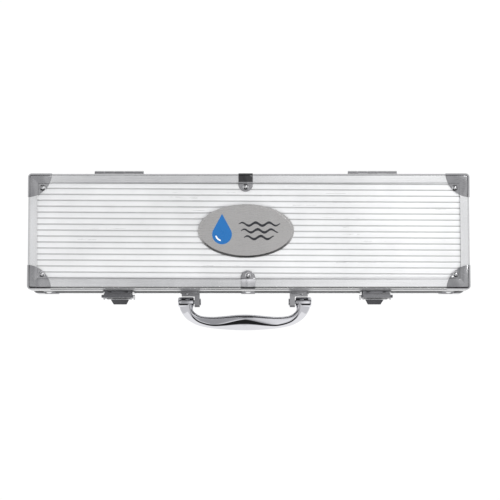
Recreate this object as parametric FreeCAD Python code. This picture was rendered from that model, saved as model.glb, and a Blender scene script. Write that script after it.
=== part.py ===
"""Water test kit: a long aluminium case with a hinged lid, two draw latches and a
swinging chrome handle, holding a foam tray with a pen meter, four reagent bottles,
a colour comparator and two sample vials.

Millimetres, +Z up, X along the case, -Y towards the handle.  The origin is at the
centre of the bounding box, on the plane that the case rests on.
"""
import FreeCAD, Part
import math
import os

V = FreeCAD.Vector
X, Y, Z = V(1, 0, 0), V(0, 1, 0), V(0, 0, 1)

# ---- driving dimensions -------------------------------------------------------------
case_length = 426.6      # X, over the corner caps
case_depth = 112.6       # Y, over the corner caps
case_height = 80.0       # Z, over the corner caps
seam_z = 48.0            # top of the base
seam_gap = 0.4           # between the lid's rim and the base's rim

cap_t = 0.8              # corner caps and edge clips, pressed steel
rail_t = 1.6             # wall of the aluminium rails
rail_leg = 8.8           # leg of an edge rail
edge_r = 3.0             # rounding of the case's edges
panel_t = 4.0            # board with its ribbed skin
rib_pitch = 5.78         # from groove to groove
rib_rise = 0.40          # crest above groove
rim_h = 9.6              # height of a rim rail
rim_inner_h = 6.0        # inner leg of a rim rail
rim_leg_t = 1.4
tongue_t = 1.2           # lip of the base's rim that stands inside the lid's rim
tongue_h = 3.0
tongue_gap = 0.4
lining_t = 1.0

cap_reach = 23.5         # radius of a corner cap, from the corner of the case
cap_rivet = 14.5         # rivet from each edge of its face
clip_w = 13.8            # edge clip
clip_leg = 18.2
clip_rivet = 13.5
front_clip_x, back_clip_x = -0.7, -3.0
rivet_r, rivet_h, shank_r = 2.9, 1.3, 1.4

badge_x, badge_a, badge_b, badge_h = -2.7, 46.3, 25.9, 2.4
hinge_x = (-127.2, 121.2)
hinge_w, hinge_segments = 48.0, 5
hinge_leaf_t, knuckle_r, hinge_pin_r = 1.4, 2.6, 1.2
hinge_axis_out = 4.2     # hinge axis behind the rails' outer plane
latch_x = (-127.6, 124.4)
handle_x, handle_z = -4.0, 26.0
pivot_out = 10.0         # handle axis in front of the rails' outer plane
bar_out = 20.2           # middle of the handle's bar in front of its axis
bar_half = 7.9           # half its depth there

# ---- planes worked out from them ----------------------------------------------------
outer_edge = 0.98        # where a section of the handle ends, as a part of its half depth
handle_reach = pivot_out + bar_out + outer_edge * bar_half
hinge_reach = hinge_axis_out + knuckle_r
case_y = (handle_reach - hinge_reach) / 2     # puts the whole object's middle at Y = 0
half_x = case_length / 2 - cap_t
half_y = case_depth / 2 - cap_t
rail_z0, rail_z1 = cap_t, case_height - cap_t
lid_z = seam_z + seam_gap
front_y, back_y = case_y - half_y, case_y + half_y
panel_in = rail_t + panel_t          # inner face of a panel, inward from the rails
lining_in = panel_in + lining_t
floor_z = rail_z0 + panel_in
ceiling_z = rail_z1 - panel_in
rim_in = panel_in + rim_leg_t
tongue_out = rim_in + tongue_gap
tongue_in = tongue_out + tongue_t
foam_top = seam_z - rim_inner_h - 0.2
foam_floor = floor_z + lining_t
lid_foam_z = 54.0
hinge_y, hinge_z = back_y + hinge_axis_out, seam_z + seam_gap / 2
pivot_y = front_y - pivot_out


# ---- small tools --------------------------------------------------------------------
def box(x0, x1, y0, y1, z0, z1):
    """Box between two corners."""
    return Part.makeBox(x1 - x0, y1 - y0, z1 - z0, V(x0, y0, z0))


def case_box(inset, z0, z1):
    """Box of the case's plan, inset from the rails' outer planes."""
    return box(-half_x + inset, half_x - inset, front_y + inset, back_y - inset, z0, z1)


def rod(radius, start, direction, length):
    """Cylinder from a point along a direction."""
    return Part.makeCylinder(radius, length, start, direction)


def prism_x(points, x0, x1):
    """Solid along X from a closed outline of (y, z) points."""
    wire = Part.makePolygon([V(x0, y, z) for y, z in points] + [V(x0, *points[0])])
    return Part.Face(wire).extrude(V(x1 - x0, 0, 0))


def fuse(shapes):
    """One solid from several that touch."""
    whole = shapes[0].fuse(shapes[1:]) if len(shapes) > 1 else shapes[0]
    return whole.removeSplitter()


def cut(shape, tools):
    """The shape less every tool."""
    return shape.cut(tools) if tools else shape


def along(shape, axis):
    """Straight edges of the shape that run along an axis."""
    found = []
    for edge in shape.Edges:
        if len(edge.Vertexes) == 2 and isinstance(edge.Curve, Part.Line):
            run = edge.Vertexes[1].Point.sub(edge.Vertexes[0].Point)
            if abs(run.normalize().dot(axis)) > 0.999:
                found.append(edge)
    return found


def save(name, *shapes):
    """Write one node, from one or more solids."""
    solids = [s for shape in shapes for s in shape.Solids]
    whole = solids[0] if len(solids) == 1 else Part.makeCompound(solids)
    bad = [s for s in solids if not s.isValid() or s.Volume <= 0]
    print(f"{name}: {len(solids)} solids, {whole.Volume:.1f} mm3{' INVALID' if bad else ''}")
    whole.exportStep(f"parts/{name}.step")


# ---- rivets -------------------------------------------------------------------------
def rivet(foot, out, grip, radius=rivet_r, rise=rivet_h):
    """Domed rivet: its head stands on `foot`, its shank runs `grip` inward."""
    sphere_r = (radius ** 2 + rise ** 2) / (2 * rise)
    ball = Part.makeSphere(sphere_r, foot + out * (rise - sphere_r))
    head = ball.common(rod(radius + 1, foot, out, rise + 1))
    return head.fuse(rod(shank_r, foot - out * grip, out, grip + 0.01)).removeSplitter()


def shank_hole(foot, out, grip):
    """Hole for that rivet's shank."""
    return rod(shank_r + 0.05, foot - out * (grip + 0.5), out, grip + 1.5)


corner_signs = [(sx, sy) for sx in (-1, 1) for sy in (-1, 1)]


def shell_rivets(top):
    """(foot, out) of every rivet in the corner caps and edge clips of one half."""
    up = 1 if top else -1
    rail_z = rail_z1 if top else rail_z0
    face_z = rail_z - up * (rail_t - cap_t)
    side = rail_t - cap_t
    drop = cap_rivet - cap_t
    spots = []
    for sx, sy in corner_signs:
        cx, cy = sx * half_x, case_y + sy * half_y
        spots.append((V(cx - sx * drop, cy - sy * drop, face_z), Z * up))
        spots.append((V(cx - sx * drop, cy - sy * side, rail_z - up * drop), Y * sy))
        spots.append((V(cx - sx * side, cy - sy * drop, rail_z - up * drop), X * sx))
    for sy, x in ((-1, front_clip_x), (1, back_clip_x)):
        cy = case_y + sy * half_y
        drop = clip_rivet - cap_t
        spots.append((V(x, cy - sy * drop, face_z), Z * up))
        spots.append((V(x, cy - sy * side, rail_z - up * drop), Y * sy))
    return spots


shell_grip = cap_t + panel_t
lid_spots, base_spots = shell_rivets(True), shell_rivets(False)

# Rivets of the hardware, as (foot, out, grip).
hinge_rivet_rise = 0.9
leaf_rivets_x = (-16.0, 0.0, 16.0)
lid_leaf_z, base_leaf_z = hinge_z + 6.4, hinge_z - 6.4


def leaf_spots(z):
    """Feet of the hinge leaves' rivets in the rim rails."""
    y = back_y + hinge_leaf_t
    return [V(x + dx, y, z) for x in hinge_x for dx in leaf_rivets_x]


leaf_grip = hinge_leaf_t + rail_t
keeper_t, keeper_z0, keeper_z1 = 1.2, 49.4, 57.9
keeper_lip, keeper_lip_h = 3.4, 4.2
keeper_rivet_z = 55.7
keeper_spots = [V(x + dx, front_y - keeper_t, keeper_rivet_z) for x in latch_x for dx in (-8, 8)]
keeper_grip = keeper_t + rail_t
plate_t, plate_z0, plate_z1 = 1.2, 16.0, 46.0
plate_rivet_z = 20.0
plate_spots = [V(x + dx, front_y - plate_t, plate_rivet_z) for x in latch_x for dx in (-10, 10)]
plate_grip = plate_t + rail_t + panel_t
flange_t, flange_half_z = 2.4, 11.0
bracket_rivet_x, bracket_rivet_dz = 56.4, 7.6
bracket_spots = [
    V(handle_x + s * bracket_rivet_x, front_y - flange_t, handle_z + dz)
    for s in (-1, 1)
    for dz in (-bracket_rivet_dz, bracket_rivet_dz)
]
bracket_grip = flange_t + rail_t + panel_t
small_rivet_r = 2.1


def hardware_holes(spots, out, grip):
    """Holes for a row of hardware rivets."""
    return [shank_hole(spot, out, grip) for spot in spots]


lid_holes = (
    [shank_hole(foot, out, shell_grip) for foot, out in lid_spots]
    + hardware_holes(leaf_spots(lid_leaf_z), Y, leaf_grip)
    + hardware_holes(keeper_spots, -Y, keeper_grip)
)
base_holes = (
    [shank_hole(foot, out, shell_grip) for foot, out in base_spots]
    + hardware_holes(leaf_spots(base_leaf_z), Y, leaf_grip)
    + hardware_holes(plate_spots, -Y, plate_grip)
    + hardware_holes(bracket_spots, -Y, bracket_grip)
)


# ---- ribbed panels ------------------------------------------------------------------
def ribbed_slab(width, length, thickness):
    """Slab lying in XY, ribs along X on its top face at z = 0, centred on the origin."""
    count = math.ceil(width / rib_pitch)
    first = -count * rib_pitch / 2
    edges = []
    start = V(-length / 2, first, -rib_rise)
    for k in range(count):
        middle = start + V(0, rib_pitch / 2, rib_rise)
        end = start + V(0, rib_pitch, 0)
        edges.append(Part.Arc(start, middle, end).toShape())
        start = end
    last = -first
    corners = [start, V(-length / 2, last, -thickness), V(-length / 2, first, -thickness),
               V(-length / 2, first, -rib_rise)]
    edges += [Part.makeLine(corners[k], corners[k + 1]) for k in range(3)]
    slab = Part.Face(Part.Wire(edges)).extrude(V(length, 0, 0))
    return slab.common(box(-length / 2, length / 2, -width / 2, width / 2, -thickness, 1))


def flat_panel(top):
    """Top panel of the lid, or bottom panel of the base."""
    inset = rail_t
    slab = ribbed_slab(2 * (half_y - inset), 2 * (half_x - inset), panel_t)
    if not top:
        slab.rotate(V(0, 0, 0), X, 180)
    z = rail_z1 - rail_t if top else rail_z0 + rail_t
    slab.translate(V(0, case_y, z))
    return slab


def wall_panels(z0, z1):
    """Front and back panels, then left and right ones, between two heights."""
    height, middle = z1 - z0, (z0 + z1) / 2
    long_walls, end_walls = [], []
    for sy in (-1, 1):
        wall = ribbed_slab(height, 2 * (half_x - rail_t), panel_t)
        wall.rotate(V(0, 0, 0), X, -90 * sy)
        wall.translate(V(0, case_y + sy * (half_y - rail_t), middle))
        long_walls.append(wall)
    for sx in (-1, 1):
        wall = ribbed_slab(height, 2 * (half_y - panel_in), panel_t)
        wall.rotate(V(0, 0, 0), Z, 90)
        wall.rotate(V(0, 0, 0), Y, 90 * sx)
        wall.translate(V(sx * (half_x - rail_t), case_y, middle))
        end_walls.append(wall)
    return long_walls, end_walls


# ---- aluminium rails ----------------------------------------------------------------
def mitre(ring):
    """Cut a ring of rail into its four lengths, mitred at the corners."""
    reach = half_y + 5
    pieces = []
    for sx in (-1, 1):
        end = [V(sx * (half_x + 5), case_y - reach, -1), V(sx * (half_x + 5), case_y + reach, -1),
               V(sx * (half_x - half_y), case_y, -1)]
        wedge = Part.Face(Part.makePolygon(end + [end[0]])).extrude(V(0, 0, case_height + 2))
        pieces.append(ring.common(wedge))
        ring = ring.cut(wedge)
    return pieces + ring.Solids


def rounded_case():
    """The rails' outer box with rounded edges."""
    whole = case_box(0, rail_z0, rail_z1)
    return whole.makeFillet(edge_r, whole.Edges)


def edge_rails(top):
    """Rails along the four edges of the lid's top or the base's bottom."""
    z0, z1 = (rail_z1 - rail_leg, rail_z1 + 1) if top else (rail_z0 - 1, rail_z0 + rail_leg)
    core = case_box(rail_t, rail_z0 + rail_t, rail_z1 - rail_t)
    ring = rounded_case().common(case_box(-1, z0, z1))
    return mitre(ring.cut([core, case_box(rail_leg, -1, case_height + 1)]))


def corner_posts(z0, z1):
    """Upright angles at the four corners, between two heights."""
    skin = rounded_case().cut(case_box(rail_t, 0, case_height))
    return [
        skin.common(box(*sorted((sx * (half_x + 1), sx * (half_x - rail_leg))),
                        *sorted((case_y + sy * (half_y + 1), case_y + sy * (half_y - rail_leg))),
                        z0, z1))
        for sx, sy in corner_signs
    ]


def rim_rails(top):
    """Channel rails around the mouth; the base's has a tongue that stands in the lid's."""
    up = 1 if top else -1
    z = lid_z if top else seam_z

    def band(inset, inner, h0, h1):
        lo, hi = sorted((z + up * h0, z + up * h1))
        return case_box(inset, lo, hi).cut(case_box(inner, lo - 1, hi + 1))

    outer_wall = rounded_case().common(case_box(-1, *sorted((z, z + up * rim_h))))
    outer_wall = outer_wall.cut(case_box(rail_t, 0, case_height))
    inner_edge = rim_in if top else tongue_in
    parts = [outer_wall, band(0.5, inner_edge, 0, rail_t), band(panel_in, rim_in, 0, rim_inner_h)]
    if not top:
        parts.append(case_box(tongue_out, seam_z - rail_t, seam_z + tongue_h).cut(
            case_box(tongue_in, seam_z - rail_t - 1, seam_z + tongue_h + 1)))
    ring = fuse(parts).common(rounded_case())
    return mitre(ring)


# ---- pressed steel caps and clips ---------------------------------------------------
def stepped_case(grow):
    """The shut case's outer form: rails proud of sunken panels, grown outward."""
    whole = case_box(-grow, rail_z0 - grow, rail_z1 + grow)
    whole = whole.makeFillet(edge_r + grow, whole.Edges)
    deep = rail_t - grow
    wx, wy = half_x - rail_leg - grow, half_y - rail_leg - grow
    bands = ((rail_z0 + rail_leg + grow, seam_z - rim_h - grow),
             (lid_z + rim_h + grow, rail_z1 - rail_leg - grow))
    sunk = [box(-wx, wx, case_y - wy, case_y + wy, rail_z1 - deep, case_height + 5),
            box(-wx, wx, case_y - wy, case_y + wy, -5, rail_z0 + deep)]
    for z0, z1 in bands:
        for s in (-1, 1):
            y = case_y + s * (half_y - deep)
            sunk.append(box(-wx, wx, *sorted((y, y + s * 9)), z0, z1))
            x = s * (half_x - deep)
            sunk.append(box(*sorted((x, x + s * 9)), case_y - wy, case_y + wy, z0, z1))
    return whole.cut(sunk)


pressed_skin = stepped_case(cap_t).cut(stepped_case(0))


def corner_caps(top):
    """Three-way caps: the pressed skin inside a ball about each corner of the case."""
    z = case_height if top else 0.0
    return [
        pressed_skin.common(Part.makeSphere(
            cap_reach, V(sx * case_length / 2, case_y + sy * case_depth / 2, z)))
        for sx, sy in corner_signs
    ]


def edge_clips(top):
    """Clips folded over the long edges, each leg with a round end."""
    z_edge = case_height if top else 0.0
    inward = -1 if top else 1
    clips = []
    straight = clip_leg - clip_w / 2
    for sy, x in ((-1, front_clip_x), (1, back_clip_x)):
        y_edge = case_y + sy * case_depth / 2
        y_end, z_end = y_edge - sy * straight, z_edge + inward * straight
        tall = box(x - clip_w / 2, x + clip_w / 2, *sorted((y_edge, y_end)),
                   *sorted((z_edge, z_end)))
        flat_end = rod(clip_w / 2, V(x, y_end, z_edge), Z * inward, 5)
        side_end = rod(clip_w / 2, V(x, y_edge, z_end), Y * -sy, 5)
        clips.append(pressed_skin.common(fuse([tall, flat_end, side_end])))
    return clips


# ---- linings, foam ------------------------------------------------------------------
def lining(top):
    """Thin liner on the inside of one half."""
    if top:
        z0, z1 = lid_z + rim_inner_h, ceiling_z
        return case_box(panel_in, z0, z1).cut(case_box(lining_in, z0 - 1, z1 - lining_t))
    z0, z1 = floor_z, seam_z - rim_inner_h
    return case_box(panel_in, z0, z1).cut(case_box(lining_in, z0 + lining_t, z1 + 1))


def lid_foam():
    """Pad in the lid that holds the kit down."""
    pad = case_box(rim_in + 0.3, lid_foam_z, ceiling_z - lining_t - 0.1)
    return pad.makeFillet(2.0, along(pad, Z))


# ---- kit: places in the tray --------------------------------------------------------
sheet_top = 21.0         # top of the tray's base sheet, that the kit lies on
foam_play = 0.6          # around each piece in its pocket

bottle_x = [-184.0 + 30.0 * k for k in range(4)]
bottle_r, bottle_len = 12.0, 48.0
bottle_z = sheet_top + bottle_r
bottle_y0 = case_y - 40.0
cap_len, cap_r = 20.0, 8.5
neck_r, neck_len = 5.5, 12.0
shoulder_len = 6.0
bottle_slot = (17.0, 35.0)           # finger slot across the bottles, from their bases

block_x, block_w = -47.0, 56.0
block_y0, block_len, block_h = case_y - 40.0, 60.0, 20.0
block_z = sheet_top + block_h / 2
cell_w, cell_dx = 12.4, 13.5
collar_t, collar_len = 1.6, 5.0
cell_cap_w, cell_cap_len, cell_cap_travel = 19.6, 14.0, 6.5

vial_x0 = (3.0, 97.0)
vial_r, vial_wall, vial_len = 10.0, 1.2, 66.0
vial_y, vial_z = case_y - 25.0, sheet_top + vial_r
vial_neck_r, vial_neck_len = 7.5, 9.0
vial_cap_r, vial_cap_len = 9.7, 13.0
vial_notch = (17.0, 43.0, 17.6)      # finger notch: from, to along the vial, reach each side

meter_len, meter_w, meter_h = 126.0, 32.0, 20.0
meter_x0, meter_y, meter_z = 3.0, case_y + 21.0, sheet_top + meter_h / 2
probe_cap_len, probe_travel = 36.0, 24.0
battery_len = 16.0
meter_notch = (45.0, 75.0, 23.6)


def turned_y(profile, x, z):
    """Solid of revolution about a line along Y, from (y, radius) points."""
    pts = [V(x, profile[0][0], z)] + [V(x, y, z + r) for y, r in profile] + [V(x, profile[-1][0], z)]
    face = Part.Face(Part.makePolygon(pts + [pts[0]]))
    return face.revolve(V(x, 0, z), Y, 360)


def turned_x(profile, y, z):
    """Solid of revolution about a line along X, from (x, radius) points."""
    pts = [V(profile[0][0], y, z)] + [V(x, y, z + r) for x, r in profile] + [V(profile[-1][0], y, z)]
    face = Part.Face(Part.makePolygon(pts + [pts[0]]))
    return face.revolve(V(0, y, z), X, 360)


def pockets():
    """Plan of each hole through the tray's upper sheet: x0, x1, y0, y1."""
    g = foam_play
    holes = []
    shoulder = bottle_y0 + bottle_len + shoulder_len
    for x in bottle_x:
        holes.append((x - bottle_r - g, x + bottle_r + g, bottle_y0 - g, shoulder))
        holes.append((x - cap_r - g, x + cap_r + g, shoulder, shoulder + cap_len + g + 0.3))
    holes.append((bottle_x[0], bottle_x[-1], bottle_y0 + bottle_slot[0], bottle_y0 + bottle_slot[1]))
    holes.append((block_x - block_w / 2 - g, block_x + block_w / 2 + g, block_y0 - g,
                  block_y0 + block_len + cell_cap_len + cell_cap_travel + g + 0.4))
    for x0 in vial_x0:
        holes.append((x0 - g, x0 + vial_len + vial_cap_len + g, vial_y - vial_r - g,
                      vial_y + vial_r + g))
        holes.append((x0 + vial_notch[0], x0 + vial_notch[1], vial_y - vial_notch[2],
                      vial_y + vial_notch[2]))
    holes.append((meter_x0 - battery_len - g, meter_x0 + meter_len + probe_cap_len + probe_travel + g,
                  meter_y - meter_w / 2 - g, meter_y + meter_w / 2 + g))
    holes.append((meter_x0 + meter_notch[0], meter_x0 + meter_notch[1], meter_y - meter_notch[2],
                  meter_y + meter_notch[2]))
    return holes


def widest_block(cells, xs, ys):
    """Largest rectangle of whole cells: first and last column, first and last row."""
    best, best_area = None, 0.0
    for i, j in cells:
        top = len(ys)
        k = i
        while (k, j) in cells:
            row = j
            while row < top and (k, row) in cells:
                row += 1
            top = row
            area = (xs[k + 1] - xs[i]) * (ys[top] - ys[j])
            if area > best_area:
                best, best_area = (i, k + 1, j, top), area
            k += 1
    return best


def foam_tray():
    """Base sheet, and glued on it the blocks that stand between the pockets."""
    inset = lining_in + 0.2
    x0, x1 = -half_x + inset, half_x - inset
    y0, y1 = front_y + inset, back_y - inset
    holes = pockets()
    xs = sorted({x0, x1, *[v for h in holes for v in h[:2]]})
    ys = sorted({y0, y1, *[v for h in holes for v in h[2:]]})
    cells = set()
    for i in range(len(xs) - 1):
        for j in range(len(ys) - 1):
            x, y = (xs[i] + xs[i + 1]) / 2, (ys[j] + ys[j + 1]) / 2
            if not any(h[0] < x < h[1] and h[2] < y < h[3] for h in holes):
                cells.add((i, j))
    blocks = [box(x0, x1, y0, y1, foam_floor, sheet_top)]
    while cells:
        a, b, c, d = widest_block(cells, xs, ys)
        cells -= {(i, j) for i in range(a, b) for j in range(c, d)}
        blocks.append(box(xs[a], xs[b], ys[c], ys[d], sheet_top, foam_top))
    return blocks


# ---- kit: reagent bottles -----------------------------------------------------------
def reagent_bottles():
    """Plastic dropper bottles with a drop tip, each around its liquid."""
    bottles, liquids = [], []
    wall = 1.1
    for x in bottle_x:
        y1 = bottle_y0 + bottle_len
        y2 = y1 + shoulder_len
        y3 = y2 + neck_len
        outer = turned_y([(bottle_y0, bottle_r - 1), (bottle_y0 + 1, bottle_r), (y1, bottle_r),
                          (y1 + 3, bottle_r - 1.6), (y2, neck_r), (y3, neck_r),
                          (y3 + 5, 2.0)], x, bottle_z)
        inner = [(bottle_y0 + wall, bottle_r - wall), (y1, bottle_r - wall),
                 (y1 + 3, bottle_r - wall - 1.6), (y2, neck_r - wall)]
        liquid = turned_y(inner, x, bottle_z)
        bottles.append(outer.cut(liquid))
        liquids.append(turned_y([(y, r - 0.02) for y, r in inner], x, bottle_z))
    return bottles, liquids


def fluted(base, centre, axis, radius, length, count=18):
    """Cut finger grooves along a round cap."""
    side = X if abs(axis.x) < 0.5 else Z
    grooves = []
    for k in range(count):
        turn = FreeCAD.Rotation(axis, 360.0 * k / count)
        at = centre + turn.multVec(side) * (radius + 0.45)
        grooves.append(rod(0.9, at + axis * 0.8, axis, length - 2.6))
    return base.cut(grooves)


def reagent_cap(x):
    """Screw cap with a bore that clears the bottle's neck and tip."""
    y0 = bottle_y0 + bottle_len + shoulder_len + 0.3
    body = turned_y([(y0, cap_r), (y0 + cap_len - 2, cap_r), (y0 + cap_len, cap_r - 2)], x, bottle_z)
    body = fluted(body, V(x, y0, bottle_z), Y, cap_r, cap_len)
    bore = rod(neck_r + 0.1, V(x, y0 - 1, bottle_z), Y, neck_len + 6.5)
    return body.cut(bore)


# ---- kit: comparator ----------------------------------------------------------------
def comparator():
    """Clear block of plates cemented around two square cells, and a colour scale beside each."""
    x0, x1 = block_x - block_w / 2, block_x + block_w / 2
    y0, y1 = block_y0, block_y0 + block_len
    z0, z1 = block_z - block_h / 2, block_z + block_h / 2
    half = cell_w / 2
    low, high = block_z - half, block_z + half
    front_wall = 4.0
    plates = [box(x0, x1, y0, y1, z0, low), box(x0, x1, y0, y1, high, z1),
              box(x0, x1, y0, y0 + front_wall, low, high)]
    centres = [block_x - cell_dx, block_x + cell_dx]
    webs = [(x0, centres[0] - half), (centres[0] + half, centres[1] - half), (centres[1] + half, x1)]
    plates += [box(a, b, y0 + front_wall, y1, low, high) for a, b in webs]
    scales = []
    scale_w, scale_t = 3.2, 0.8
    for x in centres:
        out, end = half + collar_t, y1 + collar_len
        plates += [box(x - out, x + out, y1, end, block_z - out, low),
                   box(x - out, x + out, y1, end, high, block_z + out),
                   box(x - out, x - half, y1, end, low, high),
                   box(x + half, x + out, y1, end, low, high)]
        side = x + (half + 3.4 if x > block_x else -half - 3.4)
        scales.append(box(side - scale_w / 2, side + scale_w / 2, y0 + 6, y1 - 6, z1, z1 + scale_t))
    return plates, scales


def comparator_cap(s):
    """Square push-on cap of one cell, with grip grooves across its faces."""
    x, y0 = block_x + s * cell_dx, block_y0 + block_len + 0.4
    half, y1 = cell_cap_w / 2, y0 + cell_cap_len
    body = box(x - half, x + half, y0, y1, block_z - half, block_z + half)
    body = body.makeFillet(2.5, along(body, Y))
    body = body.makeFillet(1.0, [e for e in body.Edges if e.BoundBox.YMin > y1 - 0.1])
    groove_r, rise = 0.7, half + 0.3
    grooves = []
    for k in range(4):
        y = y0 + 3.0 + 2.4 * k
        grooves += [rod(groove_r, V(x - half, y, block_z + rise), X, cell_cap_w),
                    rod(groove_r, V(x - half, y, block_z - rise), X, cell_cap_w),
                    rod(groove_r, V(x + rise, y, block_z - half), Z, cell_cap_w),
                    rod(groove_r, V(x - rise, y, block_z - half), Z, cell_cap_w)]
    bore = cell_w / 2 + collar_t + 0.1
    grooves.append(box(x - bore, x + bore, y0 - 1, y0 + collar_len + 1.0, block_z - bore,
                       block_z + bore))
    return body.cut(grooves)


# ---- kit: vials ---------------------------------------------------------------------
def sample_vial(x0):
    """Glass vial with a narrower neck, open at its mouth."""
    x1 = x0 + vial_len - vial_neck_len
    x2 = x0 + vial_len
    outer = turned_x([(x0, vial_r - 1.5), (x0 + 1.5, vial_r), (x1 - 3, vial_r),
                      (x1, vial_neck_r), (x2, vial_neck_r)], vial_y, vial_z)
    w = vial_wall
    inner = turned_x([(x0 + w + 0.4, vial_r - w - 1), (x0 + w + 1.4, vial_r - w),
                      (x1 - 3.4, vial_r - w), (x1 - 0.4, vial_neck_r - w),
                      (x2 + 1, vial_neck_r - w)], vial_y, vial_z)
    return outer.cut(inner)


def vial_cap(x0):
    """Screw cap of a vial."""
    start = x0 + vial_len - vial_neck_len + 0.4
    length = vial_neck_len + vial_cap_len - 4.0
    body = turned_x([(start, vial_cap_r), (start + length - 1, vial_cap_r),
                     (start + length, vial_cap_r - 1)], vial_y, vial_z)
    body = fluted(body, V(start, vial_y, vial_z), X, vial_cap_r, length, 24)
    return body.cut(rod(vial_neck_r + 0.1, V(start - 1, vial_y, vial_z), X, vial_neck_len + 1))


# ---- kit: pen meter -----------------------------------------------------------------
screen_x, screen_len, screen_w = 34.0, 30.0, 20.0
button_x = (72.0, 88.0)
button_r = 4.6
meter_wall = 1.8
cell_r, cell_len = 5.8, 5.4
board_t, switch_h = 1.2, 9.1


def meter_form(inset, x0, x1):
    """Rounded bar of the pen meter, inset from its outside."""
    hw, hh = meter_w / 2 - inset, meter_h / 2 - inset
    bar = box(x0, x1, meter_y - hw, meter_y + hw, meter_z - hh, meter_z + hh)
    return bar.makeFillet(max(5.0 - inset, 1.0), along(bar, X))


def meter_shells():
    """Front and back halves of the pen meter's case, split at mid height."""
    x0, x1 = meter_x0, meter_x0 + meter_len
    hollow = meter_form(meter_wall, x0 + meter_wall, x1 - meter_wall)
    shell = meter_form(0, x0, x1).cut(hollow)
    shell = shell.cut(rod(6.2, V(x0 - 1, meter_y, meter_z), X, meter_wall + 2))
    top = meter_z + meter_h / 2
    window = box(x0 + screen_x, x0 + screen_x + screen_len, meter_y - screen_w / 2,
                 meter_y + screen_w / 2, top - 3, top + 1)
    window = window.makeFillet(2.0, along(window, Z))
    holes = [rod(button_r + 0.2, V(x0 + bx, meter_y, top - 3), Z, 5) for bx in button_x]
    probe_hole = rod(8.05, V(x1 - 5, meter_y, meter_z), X, 10)
    shell = shell.cut([window, probe_hole] + holes)
    upper = box(x0 - 1, x1 + 1, meter_y - 30, meter_y + 30, meter_z, meter_z + 30)
    return shell.common(upper), shell.cut(upper)


def meter_screen():
    """Clear window over the display, with a ledge below."""
    x0, top = meter_x0 + screen_x, meter_z + meter_h / 2
    lens = box(x0 + 0.1, x0 + screen_len - 0.1, meter_y - screen_w / 2 + 0.1,
               meter_y + screen_w / 2 - 0.1, top - meter_wall, top - 0.3)
    return lens.makeFillet(1.9, along(lens, Z))


def meter_button(bx):
    """Round button: a flanged cap that can sink by its travel."""
    top = meter_z + meter_h / 2
    x = meter_x0 + bx
    face = rod(button_r, V(x, meter_y, top - 2.6), Z, 3.6)
    face = face.makeFillet(0.5, [e for e in face.Edges if e.BoundBox.ZMin > top + 0.5])
    flange = rod(button_r + 1.2, V(x, meter_y, top - meter_wall - 1.0), Z, 0.9)
    return fuse([face, flange])


def meter_battery_cap():
    """Cap that screws into the rear end over the button cells."""
    x1 = meter_x0 - 0.3
    body = turned_x([(x1 - battery_len + 1, 8.2), (x1 - battery_len + 2, 9.2), (x1, 9.2)],
                    meter_y, meter_z)
    body = fluted(body, V(x1 - battery_len + 1, meter_y, meter_z), X, 9.2, battery_len, 24)
    plug = rod(6.1, V(x1 - 1, meter_y, meter_z), X, 9)
    return fuse([body, plug])


def meter_electrodes():
    """Probe body with two pins, held in the front end of the meter."""
    x1 = meter_x0 + meter_len
    body = rod(8.0, V(x1 - 14, meter_y, meter_z), X, 30).cut(
        rod(6.6, V(x1 + 4, meter_y, meter_z), X, 30))
    flange = rod(10.0 - meter_wall + 1.0 - 1.3, V(x1 - 6, meter_y, meter_z), X, 3)
    pins = [rod(0.9, V(x1 + 3.5, meter_y + dy, meter_z), X, 9) for dy in (-2.6, 2.6)]
    return fuse([body, flange] + pins)


def meter_probe_cap():
    """Cap that slides off the probe."""
    x1 = meter_x0 + meter_len + 0.3
    outer = meter_form(0.3, x1, x1 + probe_cap_len)
    tip = [e for e in outer.Edges if e.BoundBox.XMin > x1 + probe_cap_len - 0.1]
    outer = outer.makeFillet(3.0, tip)
    return outer.cut(rod(8.1, V(x1 - 1, meter_y, meter_z), X, probe_cap_len - 6))


def meter_cells():
    """Four button cells in a row behind the battery cap."""
    first = meter_x0 + 9.0
    return [rod(cell_r, V(first + k * (cell_len + 0.1), meter_y, meter_z), X, cell_len)
            for k in range(4)]


def meter_board():
    """Circuit board with a raised switch under each button."""
    z = meter_z - 3.0
    board = box(meter_x0 + 34.0, meter_x0 + meter_len - 16.0, meter_y - 12.0, meter_y + 12.0,
                z, z + board_t)
    switches = [rod(2.4, V(meter_x0 + bx, meter_y, z), Z, switch_h) for bx in button_x]
    return fuse([board] + switches)


def meter_display():
    """Display module held under the window."""
    x0, top = meter_x0 + screen_x, meter_z + meter_h / 2 - meter_wall
    return box(x0 - 2, x0 + screen_len + 2, meter_y - 10.8, meter_y + 10.8, top - 2.6, top - 0.1)


# ---- badge --------------------------------------------------------------------------
def badge():
    """Oval plate with a bevelled edge."""
    z0 = rail_z1 - rail_t
    bevel = 1.4

    def oval(shrink, z):
        curve = Part.Ellipse(V(badge_x, case_y, z), badge_a - shrink, badge_b - shrink)
        return Part.Wire(curve.toShape())

    plate = Part.Face(oval(0, z0)).extrude(V(0, 0, badge_h - bevel))
    crown = Part.makeLoft([oval(0, z0 + badge_h - bevel), oval(0.6, z0 + badge_h - 0.4),
                           oval(bevel, z0 + badge_h)], True, True)
    return fuse([plate, crown])


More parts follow.
